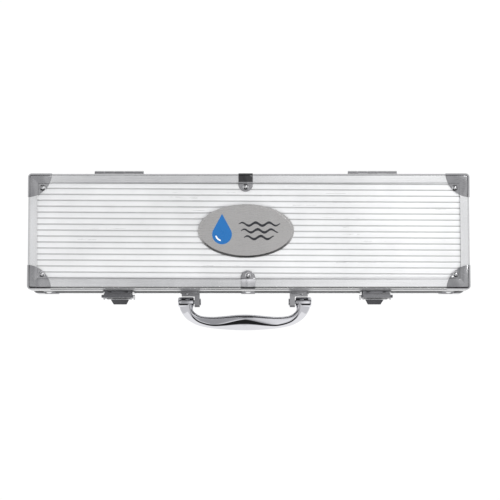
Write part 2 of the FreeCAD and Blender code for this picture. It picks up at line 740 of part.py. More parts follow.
# ---- hinges -------------------------------------------------------------------------
def hinge(x, top):
    """One leaf with its knuckles: the base has the outer ones and the middle one."""
    up = 1 if top else -1
    z_near, z_far = hinge_z + up * 1.2, hinge_z + up * 9.6
    y0 = back_y
    plate = box(x - hinge_w / 2, x + hinge_w / 2, y0, y0 + hinge_leaf_t, *sorted((z_near, z_far)))
    outer = [e for e in along(plate, Y) if abs(e.BoundBox.ZMin - z_far) < 0.1]
    plate = plate.makeFillet(2.5, outer)
    step = hinge_w / hinge_segments
    parts, play = [plate], 0.15
    for k in range(hinge_segments):
        if (k % 2 == 1) == top:
            a, b = x - hinge_w / 2 + k * step, x - hinge_w / 2 + (k + 1) * step
            a, b = a + (play if k else 0), b - (play if k < hinge_segments - 1 else 0)
            parts.append(rod(knuckle_r, V(a, hinge_y, hinge_z), X, b - a))
            parts.append(box(a, b, y0, hinge_y, *sorted((hinge_z + up * 0.6, hinge_z + up * knuckle_r))))
    leaf = fuse(parts)
    bore = rod(hinge_pin_r + 0.05, V(x - hinge_w, hinge_y, hinge_z), X, 2 * hinge_w)
    z_rivet = lid_leaf_z if top else base_leaf_z
    holes = [shank_hole(V(x + dx, y0 + hinge_leaf_t, z_rivet), Y, leaf_grip) for dx in leaf_rivets_x]
    return leaf.cut([bore] + holes)


# ---- latches ------------------------------------------------------------------------
lever_out, lever_z = 4.8, 40.0        # lever pivot, outward from the rails' plane
hook_out, hook_z = 5.6, 32.0          # hook pivot
latch_pin_r, latch_play = 1.2, 0.06


def out(distance):
    """Y of something that far in front of the front rails."""
    return front_y - distance


def latch_plate(x):
    """Plate on the base with two ears, stepped back onto the panel."""
    step_z = seam_z - rim_h - 0.2
    plate = fuse([
        box(x - 15, x + 15, out(plate_t), out(0), plate_z0, plate_z1),
        box(x - 15, x + 15, out(0.01), out(-rail_t), plate_z0, step_z),
    ])
    ears = []
    for s in (-1, 1):
        a, b = sorted((x + s * 12.4, x + s * 13.6))
        ear = fuse([box(a, b, out(lever_out), out(plate_t - 0.2), lever_z - 3.4, lever_z + 3.4),
                    rod(2.7, V(a, out(lever_out), lever_z), X, b - a)])
        ears.append(ear)
    whole = fuse([plate] + ears)
    return whole.cut([rod(latch_pin_r, V(x - 20, out(lever_out), lever_z), X, 40)]
                     + hardware_holes([s for s in plate_spots if abs(s.x - x) < 15], -Y, plate_grip))


def latch_lever(x):
    """Channel-shaped lever with a flared finger tab."""
    skin_in, skin_out = lever_out + 1.6, lever_out + 2.8
    tab_z, tab_out = 19.0, 12.0
    skin = box(x - 11.9, x + 11.9, out(skin_out), out(skin_in), 23.0, lever_z + 1.2)
    tab_outline = [(out(skin_in), 24.0), (out(skin_out), 24.0), (out(tab_out), tab_z + 1.0),
                   (out(tab_out), tab_z - 0.2), (out(tab_out - 1.2), tab_z - 0.2),
                   (out(skin_in), 22.2)]
    tab = prism_x(tab_outline, x - 9.0, x + 9.0)
    cheeks = []
    for s in (-1, 1):
        a, b = sorted((x + s * 10.7, x + s * 11.9))
        cheeks.append(fuse([
            rod(2.6, V(a, out(lever_out), lever_z), X, b - a),
            box(a, b, out(skin_out), out(lever_out), 24.0, lever_z + 1.2),
            rod(2.2, V(a, out(hook_out), hook_z), X, b - a),
            box(a, b, out(skin_out), out(hook_out - 2.2), 28.0, lever_z),
        ]))
    lever = fuse([skin, tab] + cheeks)
    bores = [rod(latch_pin_r + latch_play, V(x - 20, out(lever_out), lever_z), X, 40),
             rod(latch_pin_r, V(x - 20, out(hook_out), hook_z), X, 40)]
    return lever.cut(bores)


def latch_hook(x):
    """Yoke from the lever's second pin up over the keeper."""
    arms = []
    for s in (-1, 1):
        a, b = sorted((x + s * 14.2, x + s * 15.4))
        arms.append(fuse([rod(2.3, V(a, out(hook_out), hook_z), X, b - a),
                          box(a, b, out(hook_out + 1.6), out(hook_out - 1.0), hook_z, 57.0)]))
    plate = box(x - 15.4, x + 15.4, out(hook_out + 1.6), out(hook_out + 0.5), 47.6, 57.0)
    bead = rod(1.5, V(x - 15.4, out(hook_out + 0.5), 57.0), X, 30.8)
    hook = fuse(arms + [plate, bead])
    return hook.cut(rod(latch_pin_r + latch_play, V(x - 20, out(hook_out), hook_z), X, 40))


def latch_keeper(x):
    """Plate on the lid's rim with an upturned lip."""
    inside, tip = keeper_lip - 1.1, keeper_z0 + keeper_lip_h
    outline = [(out(0), keeper_z0), (out(keeper_lip), keeper_z0), (out(keeper_lip), tip),
               (out(inside), tip), (out(inside), keeper_z0 + keeper_t),
               (out(keeper_t), keeper_z0 + keeper_t), (out(keeper_t), keeper_z1),
               (out(0), keeper_z1)]
    keeper = prism_x(outline, x - 13.0, x + 13.0)
    return keeper.cut(hardware_holes([s for s in keeper_spots if abs(s.x - x) < 15], -Y, keeper_grip))


# ---- handle -------------------------------------------------------------------------
leg_x0, leg_x1 = 44.4, 49.5           # bracket leg, from the handle's middle
flange_x1 = 63.2                      # outer end of the bracket's flange
knuckle_x0, knuckle_x1 = 50.2, 66.0   # round end of the handle
pin_x1 = 61.5
leg_reach, leg_half_z = 15.2, 6.2
web_reach, web_half_z = 4.6, 3.6
pin_r, pin_play = 2.0, 0.06

# Centre line of half the handle, from the pivot to the middle: place along X, place
# outward from the pivot, half depth in its plane, half height, and where the ridge
# between its top and its outer flank lies (1 is at the outer edge).
handle_line = [
    (58.1, 0.0, 7.7, 4.9, 0.62),
    (57.7, 5.6, 6.9, 4.9, 0.62),
    (54.9, 11.8, 5.5, 4.8, 0.66),
    (49.9, 15.9, 5.0, 4.9, 0.70),
    (43.4, 18.7, 5.1, 5.2, 0.70),
    (33.0, 20.2, 5.7, 5.5, 0.58),
    (22.0, 20.5, 6.6, 5.7, 0.36),
    (10.0, 20.3, 7.6, 5.8, 0.18),
    (0.0, bar_out, bar_half, 5.8, 0.12),
]


def handle_section(k):
    """Eight-sided section of the handle, square to its centre line at point k."""
    line = [(-x, r, a, b, e) for x, r, a, b, e in handle_line]
    line += [(x, r, a, b, e) for x, r, a, b, e in reversed(handle_line[:-1])]
    x, r, depth, height, ridge = line[k]
    before, after = line[max(k - 1, 0)], line[min(k + 1, len(line) - 1)]
    if k in (0, len(line) - 1):
        run = V(0, -1 if k == 0 else 1, 0)
    else:
        run = V(after[0] - before[0], -(after[1] - before[1]), 0).normalize()
    outward = V(run.y, -run.x, 0)
    centre = V(handle_x + x, pivot_y - r, handle_z)
    shape = [(-1.0, 0.45), (-0.72, 0.94), (ridge, 1.0), (outer_edge, 0.42),
             (outer_edge, -0.42), (ridge, -1.0), (-0.72, -0.94), (-1.0, -0.45)]
    points = [centre + outward * (a * depth) + Z * (b * height) for a, b in shape]
    return Part.makePolygon(points + [points[0]])


def handle():
    """Cast handle: a lofted bar with a round knuckle at each end."""
    count = 2 * len(handle_line) - 1
    bar = Part.makeLoft([handle_section(k) for k in range(count)], True, False)
    knuckles, bores = [], []
    for s in (-1, 1):
        a, b = sorted((handle_x + s * knuckle_x0, handle_x + s * knuckle_x1))
        knuckle = rod(4.9, V(a, pivot_y, handle_z), X, b - a)
        knuckles.append(knuckle.makeFillet(1.6, [e for e in knuckle.Edges if e.Length > 20]))
        a, b = sorted((handle_x + s * (knuckle_x0 - 1), handle_x + s * (pin_x1 + 0.5)))
        bores.append(rod(pin_r + pin_play, V(a, pivot_y, handle_z), X, b - a))
    room_r, room_w = 9.4, 6.0
    swing_room = [rod(room_r, V(x, pivot_y, handle_z), X, room_w) for x in
                  (handle_x - leg_x1 - 0.4, handle_x + leg_x1 + 0.4 - room_w)]
    return fuse([bar] + knuckles).cut(bores + swing_room)


def handle_bracket(s):
    """Angle bracket: a flange on the panel, a leg that carries the pin and a web behind the knuckle."""
    a, b = sorted((handle_x + s * leg_x0, handle_x + s * flange_x1))
    flange = box(a, b, out(flange_t), out(-rail_t), handle_z - flange_half_z, handle_z + flange_half_z)
    flange = flange.makeFillet(2.5, along(flange, Y))
    a, b = sorted((handle_x + s * leg_x0, handle_x + s * leg_x1))
    leg = box(a, b, out(leg_reach), out(0), handle_z - leg_half_z, handle_z + leg_half_z)
    leg = leg.makeFillet(2.0, [e for e in along(leg, X) if e.BoundBox.YMax < out(leg_reach - 1)])
    a, b = sorted((handle_x + s * leg_x0, handle_x + s * (flange_x1 - 1)))
    web = box(a, b, out(web_reach), out(0), handle_z - web_half_z, handle_z + web_half_z)
    web = web.makeFillet(0.6, [e for e in along(web, X) if e.BoundBox.YMax < out(web_reach - 1)])
    a, b = sorted((handle_x + s * leg_x0, handle_x + s * leg_x1))
    spots = [p for p in bracket_spots if (p.x - handle_x) * s > 0]
    return fuse([flange, leg, web]).cut(
        [rod(pin_r, V(a - 1, pivot_y, handle_z), X, 8)] + hardware_holes(spots, -Y, bracket_grip))


def handle_pin(s):
    """Pivot pin, headed on the inner side of its bracket's leg."""
    a, b = sorted((handle_x + s * leg_x0, handle_x + s * pin_x1))
    head_a, head_b = sorted((handle_x + s * leg_x0, handle_x + s * (leg_x0 - 1.2)))
    head = rod(3.4, V(head_a, pivot_y, handle_z), X, head_b - head_a)
    return fuse([rod(pin_r, V(a, pivot_y, handle_z), X, b - a), head])


# ---- build --------------------------------------------------------------------------
def build_lid():
    """Everything that lifts with the lid."""
    long_walls, end_walls = wall_panels(lid_z + rail_t, ceiling_z)
    save("lid_top_panel", cut(flat_panel(True), lid_holes))
    save("lid_long_panels", *[cut(w, lid_holes) for w in long_walls])
    save("lid_end_panels", *[cut(w, lid_holes) for w in end_walls])
    save("lid_edge_rails", *edge_rails(True), *corner_posts(lid_z + rim_h, rail_z1 - rail_leg))
    save("lid_rim_frame", *[cut(r, lid_holes) for r in rim_rails(True)])
    save("lid_corner_caps", *[cut(c, lid_holes) for c in corner_caps(True)])
    save("lid_edge_clips", *[cut(c, lid_holes) for c in edge_clips(True)])
    rivets = [rivet(foot, way, shell_grip) for foot, way in lid_spots]
    rivets += [rivet(p, Y, leaf_grip, small_rivet_r, hinge_rivet_rise) for p in leaf_spots(lid_leaf_z)]
    rivets += [rivet(p, -Y, keeper_grip, small_rivet_r, hinge_rivet_rise) for p in keeper_spots]
    save("lid_rivets", *rivets)
    save("badge_plate", badge())
    save("lid_lining", lining(True))
    save("lid_foam", lid_foam())
    save("latch_keepers", *[latch_keeper(x) for x in latch_x])
    save("hinge_lid_leaves", *[hinge(x, True) for x in hinge_x])


def build_base():
    """The lower half with its fixed hardware."""
    long_walls, end_walls = wall_panels(floor_z, seam_z - rail_t)
    save("base_bottom_panel", cut(flat_panel(False), base_holes))
    save("base_long_panels", *[cut(w, base_holes) for w in long_walls])
    save("base_end_panels", *[cut(w, base_holes) for w in end_walls])
    save("base_edge_rails", *edge_rails(False), *corner_posts(rail_z0 + rail_leg, seam_z - rim_h))
    save("base_rim_frame", *[cut(r, base_holes) for r in rim_rails(False)])
    save("base_corner_caps", *[cut(c, base_holes) for c in corner_caps(False)])
    save("base_edge_clips", *[cut(c, base_holes) for c in edge_clips(False)])
    rivets = [rivet(foot, way, shell_grip) for foot, way in base_spots]
    rivets += [rivet(p, Y, leaf_grip, small_rivet_r, hinge_rivet_rise) for p in leaf_spots(base_leaf_z)]
    rivets += [rivet(p, -Y, plate_grip, small_rivet_r, hinge_rivet_rise) for p in plate_spots]
    rivets += [rivet(p, -Y, bracket_grip, small_rivet_r, hinge_rivet_rise) for p in bracket_spots]
    save("base_rivets", *rivets)
    save("base_lining", lining(False))
    save("foam_tray", *foam_tray())
    save("hinge_base_leaves", *[hinge(x, False) for x in hinge_x])
    save("hinge_pins", *[rod(hinge_pin_r, V(x - hinge_w / 2 + 0.2, hinge_y, hinge_z), X, hinge_w - 0.4)
                         for x in hinge_x])
    save("latch_plates", *[latch_plate(x) for x in latch_x])
    save("latch_lever_pins", *[rod(latch_pin_r, V(x - 13.9, out(lever_out), lever_z), X, 27.8)
                               for x in latch_x])
    save("handle_brackets", *[handle_bracket(s) for s in (-1, 1)])
    save("handle_pins", *[handle_pin(s) for s in (-1, 1)])


def build_movers():
    """Handle and latches."""
    save("handle_grip", handle())
    for side, x in zip(("left", "right"), latch_x):
        save(f"latch_{side}_lever", latch_lever(x))
        save(f"latch_{side}_hook", latch_hook(x))
        save(f"latch_{side}_hook_pin", rod(latch_pin_r, V(x - 15.6, out(hook_out), hook_z), X, 31.2))


def build_kit():
    """What the tray holds."""
    bottles, liquids = reagent_bottles()
    save("reagent_bottles", *bottles)
    save("reagent_liquids", *liquids)
    for k, x in enumerate(bottle_x):
        save(f"reagent_cap_{k + 1}", reagent_cap(x))
    block, scales = comparator()
    save("comparator_block", *block)
    save("comparator_scales", *scales)
    for k, s in enumerate((-1, 1)):
        save(f"comparator_cap_{k + 1}", comparator_cap(s))
    save("sample_vials", *[sample_vial(x0) for x0 in vial_x0])
    for k, x0 in enumerate(vial_x0):
        save(f"vial_cap_{k + 1}", vial_cap(x0))
    front, back = meter_shells()
    save("meter_front_shell", front)
    save("meter_back_shell", back)
    save("meter_screen", meter_screen())
    save("meter_power_button", meter_button(button_x[0]))
    save("meter_hold_button", meter_button(button_x[1]))
    save("meter_battery_cap", meter_battery_cap())
    save("meter_electrodes", meter_electrodes())
    save("meter_cells", *meter_cells())
    save("meter_circuit_board", meter_board())
    save("meter_display", meter_display())
    save("meter_probe_cap", meter_probe_cap())


os.makedirs("parts", exist_ok=True)
build_lid()
build_base()
build_movers()
build_kit()
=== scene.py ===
"""The looks of the water test kit: a ribbed aluminium case with chrome hardware and its kit inside."""
import math

import bmesh
import bpy
from mathutils import Matrix, Vector, noise


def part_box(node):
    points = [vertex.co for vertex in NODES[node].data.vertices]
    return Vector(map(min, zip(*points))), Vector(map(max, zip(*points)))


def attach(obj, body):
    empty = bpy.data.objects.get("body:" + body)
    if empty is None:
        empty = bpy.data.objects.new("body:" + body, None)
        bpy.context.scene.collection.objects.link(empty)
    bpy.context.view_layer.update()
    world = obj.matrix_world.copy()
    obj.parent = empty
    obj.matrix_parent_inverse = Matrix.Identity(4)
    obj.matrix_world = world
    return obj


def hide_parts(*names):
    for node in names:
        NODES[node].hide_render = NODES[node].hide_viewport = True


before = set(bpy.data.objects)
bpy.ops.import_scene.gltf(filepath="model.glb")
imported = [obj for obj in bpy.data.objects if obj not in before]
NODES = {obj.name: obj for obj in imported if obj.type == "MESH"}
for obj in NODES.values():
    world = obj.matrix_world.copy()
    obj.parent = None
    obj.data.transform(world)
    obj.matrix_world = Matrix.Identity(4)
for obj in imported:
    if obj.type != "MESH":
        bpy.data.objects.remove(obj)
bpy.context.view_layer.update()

MM = 0.001
WELD = 3e-6              # points of a CAD mesh that are nearer than this are one
TOUCH = 1e-6             # the same for the points of a mesh made here
FLAT = 0.7               # faces that differ by fewer degrees are one
UP = Vector((0, 0, 1))

CAPS_LO, CAPS_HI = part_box("lid_corner_caps")
CASE_MID = (CAPS_LO + CAPS_HI) / 2
LID_TOP = CAPS_HI.z


# ---- mesh helpers ----------------------------------------
def link(name, data):
    """A new object with this mesh, lamp or camera, in the scene."""
    obj = bpy.data.objects.new(name, data)
    bpy.context.scene.collection.objects.link(obj)
    return obj


def shade(mesh, sharp=32):
    """Smooth shading with edges sharper than that many degrees kept crisp."""
    if "custom_normal" in mesh.attributes:
        mesh.attributes.remove(mesh.attributes["custom_normal"])
    mesh.shade_smooth()
    mesh.set_sharp_from_angle(angle=math.radians(sharp))


def from_bmesh(name, bm, sharp=32):
    """An object from a bmesh, with its normals outward."""
    bmesh.ops.recalc_face_normals(bm, faces=bm.faces)
    mesh = bpy.data.meshes.new(name)
    bm.to_mesh(mesh)
    bm.free()
    shade(mesh, sharp)
    return link(name, mesh)


def applied(obj, sharp=32, hardened=False):
    """The object with its modifiers made part of its mesh, and its normals if hardened."""
    graph = bpy.context.evaluated_depsgraph_get()
    mesh = bpy.data.meshes.new_from_object(obj.evaluated_get(graph))
    obj.modifiers.clear()
    obj.data = mesh
    if not hardened:
        shade(mesh, sharp)
    return obj


def mitre_faces(bm):
    """The faces where the four sides of a frame meet, on the diagonals of its corners."""
    middle = sum((v.co for v in bm.verts), Vector()) / len(bm.verts)
    on_diagonal = 1.41
    found = []
    for face in bm.faces:
        at, n = face.calc_center_median() - middle, face.normal
        if abs(n.x * math.copysign(1, at.x) - n.y * math.copysign(1, at.y)) > on_diagonal:
            found.append(face)
    return found


def copied(node, name):
    """A new object with the CAD node's mesh, its points merged and its flat faces whole.

    The seams keep a frame's flat faces apart at its corners, so that none spans its opening."""
    mesh = NODES[node].data.copy()
    mesh.materials.clear()
    bm = bmesh.new()
    bm.from_mesh(mesh)
    bmesh.ops.remove_doubles(bm, verts=bm.verts, dist=WELD)
    if node.endswith("rim_frame"):
        inner = mitre_faces(bm)
        for edge in (e for face in inner for e in face.edges):
            edge.seam = True
        bmesh.ops.delete(bm, geom=inner, context="FACES")
    bmesh.ops.dissolve_limit(bm, angle_limit=math.radians(FLAT), verts=bm.verts, edges=bm.edges,
                             delimit={"SEAM"})
    bm.to_mesh(mesh)
    bm.free()
    return link(name, mesh)


def edge_bevel(obj, width):
    """A modifier that rounds an object's hard edges by that many millimetres."""
    bevel = obj.modifiers.new("round", "BEVEL")
    bevel.limit_method = "ANGLE"
    bevel.width = width * MM
    bevel.segments = 2
    return bevel


def softened(node, width, flat=True):
    """A finer copy of a CAD node: its hard edges are rounded by that many millimetres.

    Its faces shade flat up to the rounding, or bowed a little, as pressed sheet is."""
    obj = copied(node, node + "_fine")
    shade(obj.data)
    bevel = edge_bevel(obj, width)
    bevel.angle_limit = math.radians(34)
    bevel.use_clamp_overlap = True
    bevel.miter_outer = "MITER_ARC"
    bevel.harden_normals = flat
    return applied(obj, hardened=flat)


def joined(bm, rings):
    """Faces between each ring of points and the next."""
    for a, b in zip(rings, rings[1:]):
        for k in range(len(a)):
            n = (k + 1) % len(a)
            bm.faces.new((a[k], a[n], b[n], b[k]))


def lathe(bm, profile, origin, axis, steps=48):
    """Adds a closed solid of revolution to bm: profile is (along, radius) in millimetres."""
    axis = Vector(axis).normalized()
    side = axis.orthogonal().normalized()
    across = axis.cross(side)
    rings = []
    for along, radius in profile:
        centre = origin + axis * along * MM
        if radius == 0:
            rings.append([bm.verts.new(centre)])
            continue
        turn = [math.tau * k / steps for k in range(steps)]
        rings.append([bm.verts.new(centre + (side * math.cos(t) + across * math.sin(t)) * radius * MM)
                      for t in turn])
    for a, b in zip(rings, rings[1:]):
        for k in range(steps):
            n = (k + 1) % steps
            ring = [a[k % len(a)], a[n % len(a)], b[n % len(b)], b[k % len(b)]]
            unique = list(dict.fromkeys(ring))
            if len(unique) > 2:
                bm.faces.new(unique)


def rounded(points, radius, steps=4):
    """A polyline of (along, radius) points with its inner corners rounded."""
    result = [points[0]]
    for before, here, after in zip(points, points[1:], points[2:]):
        p, a, b = Vector(here), Vector(before), Vector(after)
        reach = min(radius, (a - p).length * 0.45, (b - p).length * 0.45)
        start, end = p + (a - p).normalized() * reach, p + (b - p).normalized() * reach
        for k in range(steps + 1):
            t = k / steps
            result.append(tuple(start * (1 - t) ** 2 + p * 2 * t * (1 - t) + end * t ** 2))
    result.append(points[-1])
    return result


def boxed(name, low, high):
    """A box between two corners."""
    bm = bmesh.new()
    bmesh.ops.create_cube(bm, size=1.0)
    for v in bm.verts:
        v.co = Vector([a + (b - a) * (c + 0.5) for a, b, c in zip(low, high, v.co)])
    return from_bmesh(name, bm)


def carved(obj, other, operation):
    """The object joined with or cut by another, which goes."""
    modifier = obj.modifiers.new("carve", "BOOLEAN")
    modifier.operation = operation
    modifier.solver = "EXACT"
    modifier.object = other
    applied(obj)
    bpy.data.objects.remove(other)


# ---- materials -------------------------------------------
def material(name, colour, roughness, metallic=0.0, **sockets):
    """A Principled material, its tree and its shader; uniform values sit on the shader."""
    mat = bpy.data.materials.new(name)
    mat.use_nodes = True
    shader = mat.node_tree.nodes["Principled BSDF"]
    shader.inputs["Base Color"].default_value = (*colour, 1)
    shader.inputs["Roughness"].default_value = roughness
    shader.inputs["Metallic"].default_value = metallic
    for key, value in sockets.items():
        shader.inputs[key.replace("_", " ")].default_value = value
    return mat, mat.node_tree, shader


def mapped(tree, scale=(1, 1, 1)):
    """Object coordinates, scaled per axis."""
    coord = tree.nodes.new("ShaderNodeTexCoord")
    mapping = tree.nodes.new("ShaderNodeMapping")
    mapping.inputs["Scale"].default_value = scale
    tree.links.new(coord.outputs["Object"], mapping.inputs["Vector"])
    return mapping.outputs["Vector"]


def noise_of(tree, vector, scale, detail=4.0, rough=0.55):
    """Noise texture's value."""
    tex = tree.nodes.new("ShaderNodeTexNoise")
    tex.inputs["Scale"].default_value = scale
    tex.inputs["Detail"].default_value = detail
    tex.inputs["Roughness"].default_value = rough
    tree.links.new(vector, tex.inputs["Vector"])
    return tex.outputs["Fac"]


def ramp(tree, value, low, high, start=0.3, end=0.7):
    """Maps a 0 to 1 value onto a range between start and end."""
    node = tree.nodes.new("ShaderNodeMapRange")
    node.inputs["From Min"].default_value = start
    node.inputs["From Max"].default_value = end
    node.inputs["To Min"].default_value = low
    node.inputs["To Max"].default_value = high
    tree.links.new(value, node.inputs["Value"])
    return node.outputs["Result"]


def mixed(tree, factor, colour_a, colour_b):
    """Colour between two by a factor."""
    node = tree.nodes.new("ShaderNodeMix")
    node.data_type = "RGBA"
    tree.links.new(factor, node.inputs[0])
    for socket, colour in ((node.inputs[6], colour_a), (node.inputs[7], colour_b)):
        if isinstance(colour, tuple):
            socket.default_value = (*colour, 1)
        else:
            tree.links.new(colour, socket)
    return node.outputs[2]


def maths(tree, operation, *values):
    """One Math node."""
    node = tree.nodes.new("ShaderNodeMath")
    node.operation = operation
    for value, socket in zip(values, node.inputs):
        tree.links.new(value, socket)
    return node.outputs[0]


def step_up(tree, value, start, end):
    """A smooth step from 0 to 1."""
    result = ramp(tree, value, 0, 1, start, end)
    result.node.interpolation_type = "SMOOTHSTEP"
    return result


def bumped(tree, shader, height, strength, distance):
    """Adds a bump to the shader, after any that it has."""
    node = tree.nodes.new("ShaderNodeBump")
    node.inputs["Strength"].default_value = strength
    node.inputs["Distance"].default_value = distance
    tree.links.new(height, node.inputs["Height"])
    if shader.inputs["Normal"].is_linked:
        tree.links.new(shader.inputs["Normal"].links[0].from_socket, node.inputs["Normal"])
    tree.links.new(node.outputs["Normal"], shader.inputs["Normal"])


def shades(colour, tint):
    """The colour a little darker and a little lighter."""
    return (tuple(c * (1 - tint) for c in colour), tuple(min(1.0, c * (1 + tint)) for c in colour))


def metal(name, colour, roughness, grain=None, grain_scale=900.0, spread=0.08, tint=0.06,
          bump=0.06, metallic=1.0):
    """Metal with fine grain along an axis, slow changes of tone and faint smudges."""
    mat, tree, shader = material(name, colour, roughness, metallic)
    stretch = {None: (1, 1, 1), "x": (0.02, 1, 1), "y": (1, 0.02, 1), "z": (1, 1, 0.02)}[grain]
    fine = noise_of(tree, mapped(tree, stretch), grain_scale, 3.0)
    slow = noise_of(tree, mapped(tree), 14.0, 5.0, 0.6)
    rough = maths(tree, "ADD", ramp(tree, fine, roughness - spread, roughness + spread),
                  ramp(tree, slow, -spread / 2, spread / 2))
    tree.links.new(rough, shader.inputs["Roughness"])
    tree.links.new(mixed(tree, ramp(tree, slow, 0, 1, 0.35, 0.65), *shades(colour, tint)),
                   shader.inputs["Base Color"])
    bumped(tree, shader, fine, bump, 0.00005)
    return mat


def pressed(name, colour, roughness):
    """Steel sheet that was pressed to shape, so that its surface waves a little."""
    mat = metal(name, colour, roughness, None, 700.0, 0.04, 0.08, 0.01)
    tree = mat.node_tree
    wave = noise_of(tree, mapped(tree), 55.0, 0.0)
    bumped(tree, tree.nodes["Principled BSDF"], wave, 0.7, 0.003)
    return mat


def with_painted_light(mat):
    """The same material times the mesh's tone: painted shade that makes it darker in grooves and on
    ledges, and painted reflection on the clips.
    """
    tree = mat.node_tree
    shader = tree.nodes["Principled BSDF"]
    tone = tree.nodes.new("ShaderNodeVertexColor")
    tone.layer_name = "tone"
    blend = tree.nodes.new("ShaderNodeMix")
    blend.data_type = "RGBA"
    blend.blend_type = "MULTIPLY"
    blend.inputs[0].default_value = 1.0
    tree.links.new(shader.inputs["Base Color"].links[0].from_socket, blend.inputs[6])
    tree.links.new(tone.outputs["Color"], blend.inputs[7])
    tree.links.new(blend.outputs[2], shader.inputs["Base Color"])
    return mat


def plastic(name, colour, roughness=0.35, grain_scale=1800.0, bump=0.05, tint=0.04, **sockets):
    """Moulded plastic: slight orange peel, faint changes of tone."""
    mat, tree, shader = material(name, colour, roughness, 0.0, **sockets)
    fine = noise_of(tree, mapped(tree), grain_scale, 2.0)
    slow = noise_of(tree, mapped(tree), 30.0, 4.0)
    tree.links.new(mixed(tree, ramp(tree, slow, 0, 1), *shades(colour, tint)),
                   shader.inputs["Base Color"])
    tree.links.new(ramp(tree, slow, roughness - 0.05, roughness + 0.05), shader.inputs["Roughness"])
    bumped(tree, shader, fine, bump, 0.00008)
    return mat


def foam(name, colour, cell=900.0):
    """Closed-cell foam: fine open pores and soft blotches."""
    mat, tree, shader = material(name, colour, 0.95, 0.0, Sheen_Weight=0.25, Sheen_Roughness=0.5)
    cells = tree.nodes.new("ShaderNodeTexVoronoi")
    cells.inputs["Scale"].default_value = cell
    tree.links.new(mapped(tree), cells.inputs["Vector"])
    pores = ramp(tree, cells.outputs["Distance"], 0, 1, 0.05, 0.55)
    slow = noise_of(tree, mapped(tree), 60.0, 5.0)
    pale = tuple(c * 1.8 + 0.01 for c in colour)
    tree.links.new(mixed(tree, pores, tuple(c * 0.45 for c in colour), pale),
                   shader.inputs["Base Color"])
    bumped(tree, shader, cells.outputs["Distance"], 0.5, 0.0004)
    bumped(tree, shader, slow, 0.3, 0.001)
    return mat


def flock(name, colour):
    """Flocked lining: short pile with brushed patches."""
    mat, tree, shader = material(name, colour, 0.9, 0.0, Sheen_Weight=0.5, Sheen_Roughness=0.4)
    fibre = noise_of(tree, mapped(tree), 2600.0, 3.0, 0.7)
    patch = noise_of(tree, mapped(tree), 25.0, 4.0)
    tree.links.new(mixed(tree, ramp(tree, patch, 0, 1), colour, tuple(c * 1.7 for c in colour)),
                   shader.inputs["Base Color"])
    bumped(tree, shader, fibre, 0.6, 0.0003)
    return mat


def clear(name, colour, roughness=0.04, ior=1.49):
    """Clear glass or acrylic with faint smears."""
    mat, tree, shader = material(name, colour, roughness, 0.0, Transmission_Weight=1.0, IOR=ior)
    smear = noise_of(tree, mapped(tree), 120.0, 4.0)
    tree.links.new(ramp(tree, smear, roughness, roughness + 0.06), shader.inputs["Roughness"])
    return mat


def stepped(tree, axis, low, high, stops):
    """Colours that change in steps along an object axis, between two places in metres."""
    split = tree.nodes.new("ShaderNodeSeparateXYZ")
    tree.links.new(mapped(tree), split.inputs[0])
    bands = tree.nodes.new("ShaderNodeValToRGB")
    bands.color_ramp.interpolation = "CONSTANT"
    tree.links.new(ramp(tree, split.outputs[axis], 0, 1, low, high), bands.inputs[0])
    elements = bands.color_ramp.elements
    elements.remove(elements[1])
    elements[0].position, elements[0].color = 0.0, (*stops[0][1], 1)
    for at, colour in stops[1:]:
        elements.new(at).color = (*colour, 1)
    return bands.outputs["Color"]


PAPER = (0.82, 0.82, 0.80)
CAP_COLOURS = [(0.55, 0.03, 0.03), (0.80, 0.50, 0.03), (0.02, 0.14, 0.50), (0.02, 0.30, 0.10)]
SCALE_COLOURS = [
    [(0.95, 0.55, 0.02), (0.90, 0.36, 0.03), (0.84, 0.20, 0.05), (0.76, 0.10, 0.07),
     (0.66, 0.04, 0.10), (0.50, 0.02, 0.16)],
    [(0.93, 0.80, 0.62), (0.92, 0.74, 0.36), (0.92, 0.66, 0.18), (0.90, 0.56, 0.07),
     (0.84, 0.42, 0.03), (0.68, 0.28, 0.02)]]


def colour_scale():
    """Printed card of the comparator: steps of colour with a pale line between."""
    mat = plastic("colour_scale", PAPER, 0.45)
    tree = mat.node_tree
    lo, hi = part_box("comparator_scales")
    strips = []
    for colours in SCALE_COLOURS:
        stops = []
        for k, colour in enumerate(colours):
            stops += [(k / len(colours), PAPER), ((k + 0.1) / len(colours), colour)]
        strips.append(stepped(tree, 1, lo.y, hi.y, stops))
    side = stepped(tree, 0, lo.x, hi.x, [(0.0, (0, 0, 0)), (0.5, (1, 1, 1))])
    tree.links.new(mixed(tree, side, *strips), tree.nodes["Principled BSDF"].inputs["Base Color"])
    return mat


def sleeve():
    """Printed film: pale, with a band and a line in the colour of the bottle's cap."""
    mat = plastic("bottle_sleeve", PAPER, 0.4)
    tree = mat.node_tree
    lo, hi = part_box("reagent_bottles")
    tone = stepped(tree, 0, lo.x, hi.x, [(k / 4, c) for k, c in enumerate(CAP_COLOURS)])
    mask = stepped(tree, 1, lo.y, lo.y + 0.048,
                   [(0.0, (0, 0, 0)), (0.27, (1, 1, 1)), (0.47, (0, 0, 0)), (0.52, (1, 1, 1)),
                    (0.55, (0, 0, 0))])
    tree.links.new(mixed(tree, mask, PAPER, tone), tree.nodes["Principled BSDF"].inputs["Base Color"])
    return mat


